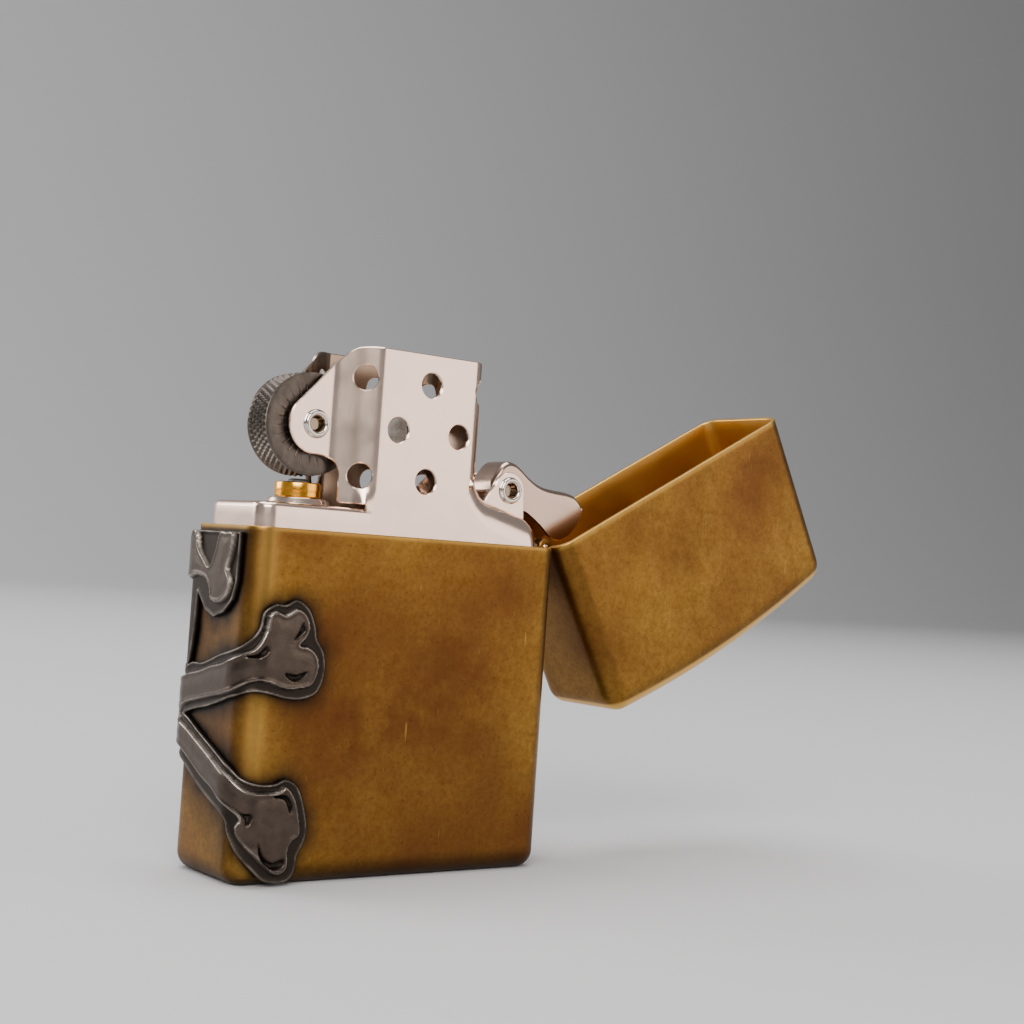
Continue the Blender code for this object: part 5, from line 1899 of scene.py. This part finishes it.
@dataclass
class Cam:
    """The cam lever: a folded channel with rounded shoulders, and its leaf spring.

    Attributes:
        place: the layout.
        sheet: thickness.
        shoulder: radius of the fold between top and sides.
        leaf: thickness of the leaf spring.
        leaf_half: half its width.
    """

    place: Layout
    sheet: float = 0.45
    shoulder: float = 0.75
    leaf: float = 0.25
    leaf_half: float = 1.3

    def build(self, finishes: Finishes) -> None:
        """Carries a channel section along the lever between its upper and lower edges.

        Args:
            finishes: every finish.
        """
        top, foot = (np.array(rounded_corners(line, 0.6, 3)) for line in (CAM_TOP, CAM_FOOT))
        x = np.concatenate([-2 + 0.4 * np.linspace(0, 1, 9) ** 2, np.linspace(-1.6, 10.6, 110)[1:]])
        x = np.concatenate([x, 11.2 - 0.6 * np.linspace(1, 0, 12)[1:] ** 2])
        high = np.interp(x, top[:, 0], top[:, 1])
        low = np.interp(x, foot[:, 0], foot[:, 1])
        wide = self.place.cam_half
        r = np.minimum(self.shoulder, (high - low) * 0.45)
        inner_r = np.maximum(r - self.sheet, 0.05)
        turn = np.linspace(0, math.pi / 2, 9)
        lip = 0.1

        def run(width: float, ceiling: Array, radius: Array, floor: Array) -> list[tuple[Array, Array]]:
            """One face of the section: up from the floor at this width, then round the fold.

            Args:
                width: how far out it stands.
                ceiling, floor: its top and bottom.
                radius: of the fold.

            Returns:
                (y, z) rows.
            """
            up = ceiling - radius - floor
            rise = [(0 * x + width, floor + up * t) for t in np.linspace(0, 1, 10)[:-1]]
            bend = [(width - radius * (1 - math.cos(a)), ceiling - radius * (1 - math.sin(a))) for a in turn]
            return rise + bend

        outer = run(wide, high, r, low + lip)
        ceiling = np.maximum(high - self.sheet, low + 0.06)
        inner = run(wide - self.sheet, ceiling, np.minimum(inner_r, (ceiling - low) * 0.5), low + lip)
        rounding = ((0.75, low + lip * 0.2), (0.5, low), (0.25, low + lip * 0.2))
        edge = [(0 * x + wide - self.sheet * share, level) for share, level in rounding]
        half = inner[::-1] + edge + outer
        section = [(y, z) for y, z in half] + [(-y, z) for y, z in reversed(half)]
        y = np.stack([p[0] for p in section], 1)
        z = np.stack([p[1] for p in section], 1)
        points = np.stack([np.repeat(x[:, None], len(section), 1), y, z], -1)
        tips = [end.mean(1, keepdims=True).repeat(len(section), 1) for end in (points[:1], points[-1:])]
        points = np.concatenate([tips[0], points, tips[1]])
        points = points.reshape(-1, 3) + np.array([self.place.cam_x, 0, self.place.cam_z])
        cam = mesh_piece("cam_channel", points, grid_faces(len(x) + 2, len(section), ring=True))
        dress(cam, finishes.cam, "cam", ["cam_lever"])
        self.build_spring(finishes)

    def build_spring(self, finishes: Finishes) -> None:
        """The leaf spring under the deck and its rivet.

        Args:
            finishes: every finish.
        """
        path = [(3.6, 36.75), (7.4, 36.75), (8.8, 36.95), (10.4, 37.6)]
        path += [(12.4, 38.45), (14.2, 38.75), (15.5, 38.5)]
        line = np.array(rounded_corners(path, 0.8))
        run = along(line)
        half = self.leaf_half
        outline = np.array([(0.2, -half), (run[-1], -half), (run[-1], half), (0.2, half)])

        def surface(u: Array, v: Array, w: Array) -> Array:
            """The leaf's middle, half its thickness under the line, moved up by w."""
            height = np.interp(u, run, line[:, 1]) - self.leaf / 2 + w
            return np.stack([np.interp(u, run, line[:, 0]), v, height], -1)

        u, v = even_grid((0, run[-1] + 0.2), (-1.4, 1.4), 0.2)
        sheet = plate(self.leaf, lambda u, v: depth_inside(u, v, outline), surface)
        leaf = sheet.build("cam_leaf_spring", u, v)
        dress(leaf, finishes.nickel, "insert", ["cam_spring"])
        dome = [(0.0, 0.4), (0.5, 0.36), (0.85, 0.22), (1.0, 0.0), (0.5, 0.0)]
        profile = [(r, 37.65 + h) for r, h in dome] + [(r, 36.45 - h) for r, h in reversed(dome)]
        rivet = lathe("leaf_rivet", profile, (5.4, 0, 0), steps=32)
        dress(rivet, finishes.nickel, "insert", ["spring_rivet"])


@dataclass
class Hinge:
    """Leaves, five knuckles and the pin.

    Attributes:
        case: the case, which turns the lid's leaf open.
        barrel: outer radius of the knuckles.
        knuckle: length of each.
        gap: space between them.
        leaf_x: the leaves' inner and outer faces.
        leaf_half: half the leaves' width.
        bore: radius of the knuckles' bore.
        pin: radius of the pin.
    """

    case: Case
    barrel: float = 0.95
    knuckle: float = 1.5
    gap: float = 0.12
    leaf_x: Point = (17.85, 18.3)
    leaf_half: float = 3.9
    bore: float = 0.42
    pin: float = 0.36

    def build(self, finishes: Finishes) -> None:
        """Makes each leaf and its knuckles, then the pin.

        Args:
            finishes: every finish.
        """
        place = self.case.place
        spans = {"case": (28.6, 33.9, (0, 2, 4)), "lid": (36.5, 41.6, (1, 3))}
        for body, (low, high, turns) in spans.items():
            pieces = [self.leaf(f"{body}_leaf_plate", low, high)]
            for turn in turns:
                pieces.append(self.tab(f"{body}_tab_{turn}", turn, low, high))
                pieces.append(self.barrel_piece(f"{body}_knuckle_{turn}", turn))
            for number, piece in enumerate(pieces):
                if body == "lid":
                    self.case.open_up(piece)
                replaced = [f"{body}_hinge_leaf"] if number == 0 else []
                dress(piece, finishes.brass, body, replaced)
        reach = 2.5 * self.knuckle + 2 * self.gap
        half = [(0, reach), (0.26, reach), (self.pin, reach - 0.1)]
        profile = half + [(r, -h) for r, h in reversed(half)]
        pin = lathe("hinge_pin_rod", profile, (place.hinge_x, 0, place.hinge_z), Axis.ALONG_Y, 32)
        dress(pin, finishes.nickel, "case", ["hinge_pin"])

    def leaf(self, name: str, low: float, high: float) -> Piece:
        """A plate inside the wall.

        Args:
            name: the piece's name.
            low, high: its lower and upper edges.

        Returns:
            The leaf.
        """
        reach = self.leaf_half
        outline = np.array([(-reach, low), (reach, low), (reach, high), (-reach, high)])
        middle = sum(self.leaf_x) / 2
        sheet = plate(
            self.leaf_x[1] - self.leaf_x[0],
            lambda u, v: depth_inside(u, v, outline),
            lambda u, v, w: np.stack([middle + w, u, v], -1),
        )
        u, v = even_grid((-reach - 0.2, reach + 0.2), (low - 0.2, high + 0.2), 0.2)
        return sheet.build(name, u, v)

    def tab(self, name: str, turn: int, low: float, high: float) -> Piece:
        """The neck between a leaf and a knuckle.

        Args:
            name: the piece's name.
            turn: which knuckle it reaches, from the near end.
            low, high: the leaf's lower and upper edges.

        Returns:
            The neck.
        """
        hinge_z = self.case.place.hinge_z
        y = (turn - 2) * (self.knuckle + self.gap)
        ends = (low + 1, hinge_z) if high < hinge_z else (hinge_z, high - 1)
        inset = self.knuckle / 2 - 0.04
        near, far = self.leaf_x[0] + 0.02, self.leaf_x[1] - 0.02
        return block(name, (near, y - inset, ends[0]), (far, y + inset, ends[1]))

    def barrel_piece(self, name: str, turn: int) -> Piece:
        """One knuckle, chamfered at both ends.

        Args:
            name: the piece's name.
            turn: which one it is, from the near end.

        Returns:
            The knuckle.
        """
        place = self.case.place
        reach, r = self.knuckle / 2, self.barrel
        half = [(self.bore, reach), (r - 0.12, reach), (r, reach - 0.12)]
        profile = half + [(radius, -h) for radius, h in reversed(half)]
        centre = (place.hinge_x, (turn - 2) * (self.knuckle + self.gap), place.hinge_z)
        return lathe(name, profile, centre, Axis.ALONG_Y, 48, tube=True)


@dataclass
class FlintFeed:
    """Tube, flint, tip, spring and screw, on one upright axis.

    Attributes:
        place: the layout.
        turns, coil, wire: the spring's turns, and the radii of its coil and wire.
        foot: where the spring stands on the screw.
        length: the spring's length at rest.
        steps, sides: rings for each turn, and columns round the wire.
    """

    place: Layout
    turns: int = 13
    coil: float = 0.92
    wire: float = 0.2
    foot: float = 5.6
    length: float = 28.1
    steps: int = 28
    sides: int = 8

    def build(self, finishes: Finishes) -> None:
        """Turns each piece and winds the spring.

        Args:
            finishes: every finish.
        """
        centre = (self.place.flint_x, 0, 0)
        rings = [(2.3, 39.9), (2.42, 39.8), (2.45, 39.7), (2.45, 39.05), (2.41, 39.0), (2.41, 38.92)]
        rings += [(2.45, 38.88), (2.45, 38.5), (2.38, 38.4)]
        bore = [(1.8, 38.4), (1.8, 3.0), (1.7, 2.9), (1.38, 2.9), (1.38, 39.75), (1.5, 39.9)]
        tube = lathe("flint_tube_brass", rings + bore, centre, tube=True)
        dress(tube, finishes.collar, "insert", ["flint_tube"])
        flint = [(0, 40.3), (0.8, 40.28), (1.05, 40.18), (1.15, 40.0), (1.15, 35.3), (1.05, 35.2), (0, 35.2)]
        rod = lathe("flint_rod", flint, centre, steps=40)
        dress(rod, finishes.flint, "flint", ["flint"])
        tip = [(0, 35.1), (0.95, 35.1), (1.1, 34.95), (1.1, 34.0)]
        tip += [(1.0, 33.9), (0.55, 33.8), (0.55, 31.1), (0, 30.8)]
        plunger = lathe("spring_tip_brass", tip, centre, steps=40)
        dress(plunger, finishes.collar, "flint", ["spring_tip"])
        self.build_spring(finishes)
        self.build_screw(finishes, centre)

    def build_spring(self, finishes: Finishes) -> None:
        """A helix that stands on the screw and holds the tip up to the flint.

        Args:
            finishes: every finish.
        """
        t = np.linspace(0, 1, self.turns * self.steps)
        angle = TAU * self.turns * t
        x, y = self.coil * np.cos(angle) + self.place.flint_x, self.coil * np.sin(angle)
        path = np.stack([x, y, self.foot + self.length * t], -1)
        ahead = np.gradient(path, axis=0)
        ahead /= np.linalg.norm(ahead, axis=1, keepdims=True)
        out = np.stack([np.cos(angle), np.sin(angle), 0 * angle], -1)
        over = np.cross(ahead, out)
        turn = np.linspace(0, TAU, self.sides + 1)[:-1]
        rings = path[:, None] + self.wire * (
            np.cos(turn)[None, :, None] * out[:, None] + np.sin(turn)[None, :, None] * over[:, None]
        )
        ends = [end[:, None].repeat(self.sides, 1) for end in (path[:1], path[-1:])]
        rings = np.concatenate([ends[0], rings, ends[1]])
        faces = grid_faces(len(t) + 2, self.sides, ring=True)
        spring = mesh_piece("flint_coil", rings.reshape(-1, 3), faces)
        dress(spring, finishes.nickel, "spring", ["flint_spring"])
        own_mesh(spring)

    def build_screw(self, finishes: Finishes, centre: Sequence[float]) -> None:
        """The brass screw that closes the tube, with a slot across its head.

        Args:
            finishes: every finish.
            centre: the tube's axis.
        """
        head = [(0, 5.4), (0.5, 5.4), (0.6, 5.2), (0.6, 3.7), (1.2, 3.6), (1.2, 2.7), (2.4, 2.7), (2.5, 2.6)]
        head += [(2.5, 1.8), (2.42, 1.66), (2.25, 1.6), (0, 1.6)]
        screw = lathe("flint_screw_brass", head, centre, steps=72)
        slot = block("slot", (centre[0] - 4, -0.35, 0.6), (centre[0] + 4, 0.35, 2.05))
        dress(cut(screw, [slot]), finishes.collar, "screw", ["flint_screw"])


@dataclass
class Packing:
    """Wick, cotton wads and felt pad.

    Attributes:
        wick: radius of the wick.
        pad_x: the pad's two ends.
        pad_half_y: half the pad's width.
        pad_corner: radius of its corners.
        pad_hole: radius of the hole under the screw.
        pad_middle: height of its middle.
        pad_half: half its thickness.
        wad_half_y: half the wads' depth.
        wads: x from, x to, z from and z to of each wad.
    """

    wick: float = 1.4
    pad_x: Point = (-17.3, 16.8)
    pad_half_y: float = 4.85
    pad_corner: float = 1.4
    pad_hole: float = 3.0
    pad_middle: float = 2.6
    pad_half: float = 0.85
    wad_half_y: float = 4.7
    wads: tuple[tuple[float, float, float, float], ...] = (
        (-8.4, -0.8, 19.2, 35.8),
        (3.9, 16.4, 27.4, 35.8),
        (1.2, 12.0, 17.9, 23.1),
        (-5.0, 16.4, 9.8, 14.1),
        (-8.4, 16.4, 3.8, 6.0),
    )

    def build(self, finishes: Finishes, place: Layout) -> None:
        """Braids the wick, plumps the wads and cuts the pad.

        Args:
            finishes: every finish.
            place: the layout.
        """
        self.build_wick(finishes)
        for number, (x0, x1, z0, z1) in enumerate(self.wads, 1):
            low, high = np.array([x0, -self.wad_half_y, z0]), np.array([x1, self.wad_half_y, z1])
            wad = self.wad(f"wad_{number}", low, high, number)
            dress(wad, finishes.cotton, "insert", [f"cotton_wad_{number}"])
        self.build_pad(finishes, place.flint_x)

    def build_wick(self, finishes: Finishes) -> None:
        """A round braid up the chimney and folded to and fro between the wads.

        Args:
            finishes: every finish.
        """
        route = [(1.2, 48.5), (1.2, 42.0), (1.2, 36.0), (1.2, 29.0), *arc((4.2, 28.0), 3.0, 180, 270, 10)]
        route += [(9.0, 25.0), *arc((9.6, 20.5), 4.5, 90, -90, 18), (4.0, 16.0), (-2.0, 16.0)]
        route += [*arc((-3.2, 11.9), 4.1, 90, 270, 18), (2.0, 7.8), (10.0, 7.8)]
        x, z = evenly(np.array(route), 420).T

        def braid(run: Array, angle: Array) -> Array:
            """The product of two waves that wind round the wick in opposite ways."""
            return 0.07 * (np.cos(4 * angle + 2.4 * run) * np.cos(4 * angle - 2.4 * run) - 1)

        wick = swept("wick_braid", np.stack([x, 0 * x, z], -1), self.wick, 28, braid)
        dress(wick, finishes.cotton, "insert", ["wick"])

    def build_pad(self, finishes: Finishes, screw_x: float) -> None:
        """The felt under the insert, with a hole for the screw and a wavy nap on both faces.

        Args:
            finishes: every finish.
            screw_x: the screw's axis.
        """
        (x0, x1), y, r = self.pad_x, self.pad_half_y, self.pad_corner
        outline = [(x0 + r, -y), *arc((x1 - r, -y + r), r, -90, 0, 8)]
        outline += [*arc((x1 - r, y - r), r, 0, 90, 8), *arc((x0 + r, y - r), r, 90, 180, 8)]
        outline = np.array(outline + arc((x0 + r, r - y), r, 180, 270, 8))

        def inside(u: Array, v: Array) -> Array:
            """Depth inside the outline and outside the hole."""
            return np.minimum(depth_inside(u, v, outline), np.hypot(u - screw_x, v) - self.pad_hole)

        def nap(u: Array, v: Array) -> Array:
            """A product of two sine waves, each bent by the other direction."""
            return 0.05 * np.sin(2.1 * u + 1.7 * np.sin(1.3 * v)) * np.sin(1.9 * v + 1.1 * np.sin(0.9 * u))

        sheet = Sheet(
            inside,
            lambda u, v, w: np.stack([u, v, self.pad_middle + w], -1),
            lambda d, u, v: self.pad_half + nap(u, v),
            lambda d, u, v: nap(u + 3, v) - self.pad_half,
            0.2,
        )
        u, v = even_grid((-17.6, 17.0), (-5.1, 5.1), 0.3)
        pad = sheet.build("felt_pad_soft", u, v)
        dress(pad, finishes.felt, "insert", ["felt_pad"])

    def wad(self, name: str, low: Array, high: Array, seed: int) -> Piece:
        """A plump block of cotton.

        Each direction (a, b) of a sphere is pushed out to a super-ellipsoid of power 0.28 with sine
        lumps of a few tenths of a millimetre, kept inside its box.

        Args:
            name: the piece's name.
            low, high: its low and high corners.
            seed: where its lumps start.

        Returns:
            The wad.
        """
        a, b = np.meshgrid(np.linspace(0, TAU, 121)[:-1], np.linspace(-math.pi / 2, math.pi / 2, 61))

        def power(value: Array) -> Array:
            """The value's size raised to the power, with its sign; next to nothing counts as nothing."""
            return np.sign(value) * np.where(np.abs(value) < 1e-9, 0, np.abs(value)) ** 0.28

        level, around_x, around_y, up = (power(p) for p in (np.cos(b), np.cos(a), np.sin(a), np.sin(b)))
        unit = np.stack([level * around_x, level * around_y, up], -1)
        middle, half = (low + high) / 2, (high - low) / 2
        point = unit * half
        lump = np.sin(1.9 * point[..., 0] + seed) * np.sin(2.3 * point[..., 2] + 2 * seed)
        lump = lump + 0.5 * np.sin(4.1 * point[..., 1] + 3.3 * point[..., 0] + seed)
        shrink = 1 - np.minimum(0.3 / half.min(), 0.12) * (1.5 + lump) / 3
        points = (point * shrink[..., None] + middle).reshape(-1, 3)
        return mesh_piece(name, points, grid_faces(61, 120, ring=True))


# ---- studio


def standing(x: Array, y: Array, z: Array, place: Sequence[float]) -> Matrix:
    """The matrix of an object whose own axes are x, y and z, at this place."""
    return Matrix([[x[i], y[i], z[i], place[i]] for i in range(3)] + [[0, 0, 0, 1]])


@dataclass(frozen=True)
class Lamp:
    """A soft square light that faces the lighter.

    Attributes:
        name: its name.
        place: where it stands, in metres.
        size: length of its side, in metres.
        power: in watts.
        colour: its light.
        target: what it faces, in metres.
    """

    name: str
    place: Place
    size: float
    power: float
    colour: Colour = (1.0, 0.97, 0.94)
    target: Place = (0.01, 0, 0.03)

    def build(self) -> None:
        """Stands the light with its back along the line from its target."""
        data = bpy.data.lights.new(self.name, "AREA")
        data.size = self.size
        data.energy = self.power
        data.color = self.colour
        lamp = bpy.data.objects.new(self.name, data)
        back = np.array(self.place) - np.array(self.target)
        back /= np.linalg.norm(back)
        side = np.cross([0, 0, 1.0], back)
        side /= np.linalg.norm(side)
        lamp.matrix_world = standing(side, np.cross(back, side), back, self.place)
        bpy.context.scene.collection.objects.link(lamp)


@dataclass(frozen=True)
class Studio:
    """Camera, floor and lights.

    Attributes:
        eye: the camera's place, in metres.
        yaw, pitch, roll: how far the view turns from +Y to +X, looks up and leans, in degrees.
        lens, sensor: focal length and width of the film, in millimetres.
        ground: the floor's colour.
        sky, sky_strength: the world's colour and strength.
        lamps: the lights.
    """

    eye: Place = (-0.100, -0.152, 0.0332)
    yaw: float = 37.6
    pitch: float = 1.7
    roll: float = 3.91
    lens: float = 59.9
    sensor: float = 36
    ground: Colour = (0.52, 0.515, 0.52)
    sky: Colour = (0.62, 0.63, 0.66)
    sky_strength: float = 0.42
    lamps: tuple[Lamp, ...] = (
        Lamp("key", (-0.55, -0.75, 0.62), 0.7, 14),
        Lamp("front", (0.78, -0.95, 0.28), 0.95, 6.5, (1.0, 0.92, 0.86)),
        Lamp("back", (-0.75, 0.85, 0.45), 0.7, 10),
        Lamp("top", (0.0, 0.15, 1.1), 0.8, 12, (1.0, 1.0, 1.0)),
    )

    def camera(self) -> None:
        """Places the camera from its yaw, pitch and roll."""
        yaw, pitch, roll = (math.radians(a) for a in (self.yaw, self.pitch, self.roll))
        ahead = np.array([math.sin(yaw) * math.cos(pitch), math.cos(yaw) * math.cos(pitch), math.sin(pitch)])
        right = np.array([math.cos(yaw), -math.sin(yaw), 0])
        up = np.cross(right, ahead)
        x = right * math.cos(roll) + up * math.sin(roll)
        y = -right * math.sin(roll) + up * math.cos(roll)
        data = bpy.data.cameras.new("camera")
        data.lens = self.lens
        data.sensor_width = self.sensor
        data.clip_start = 0.005
        camera = bpy.data.objects.new("camera", data)
        camera.matrix_world = standing(x, y, -ahead, self.eye)
        bpy.context.scene.collection.objects.link(camera)
        bpy.context.scene.camera = camera

    def floor(self) -> None:
        """A pale floor that curves up behind, as a profile carried along X."""
        line = np.array([(-9.0, 0.0), (0.9, 0.0), *arc((0.9, 0.5), 0.5, -90, 0, 12), (1.4, 1.6)])
        x = np.linspace(-9, 9, 3)
        points = np.array([[a, y, z] for y, z in line for a in x]) / MM
        floor = mesh_piece("floor", points, grid_faces(len(line), 3))
        floor.data.materials.append(Shading("floor", self.ground, 0.8, 0.0).material)

    def build(self) -> None:
        """Camera, floor, four soft lights and a grey world."""
        self.camera()
        self.floor()
        for lamp in self.lamps:
            lamp.build()
        world = bpy.data.worlds.new("world")
        world.use_nodes = True
        background = world.node_tree.nodes["Background"]
        background.inputs["Color"].default_value = (*self.sky, 1)
        background.inputs["Strength"].default_value = self.sky_strength
        bpy.context.scene.world = world


def main() -> None:
    """Builds every sub-assembly in order."""
    logging.basicConfig(level=logging.INFO, format="%(message)s")
    for name in ("Cube", "Light", "Camera"):
        if name in bpy.data.objects:
            bpy.data.objects.remove(bpy.data.objects[name])
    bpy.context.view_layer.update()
    place = Layout.read()
    finishes = Finishes()
    emblem = Emblem(place)
    case = Case(place)
    case.build_bottom(finishes, emblem)
    case.build_lid(finishes)
    emblem.build(finishes)
    Hinge(case).build(finishes)
    Insert(place).build(finishes)
    Rivet("wheel_rivet", place.wheel_x, place.wheel_z, 2.9).build(finishes)
    Rivet("cam_rivet", place.cam_x, place.cam_z, 3.0).build(finishes)
    Wheel(place).build(finishes)
    Cam(place).build(finishes)
    FlintFeed(place).build(finishes)
    Packing().build(finishes, place)
    Studio().build()


if __name__ == "__main__":
    main()
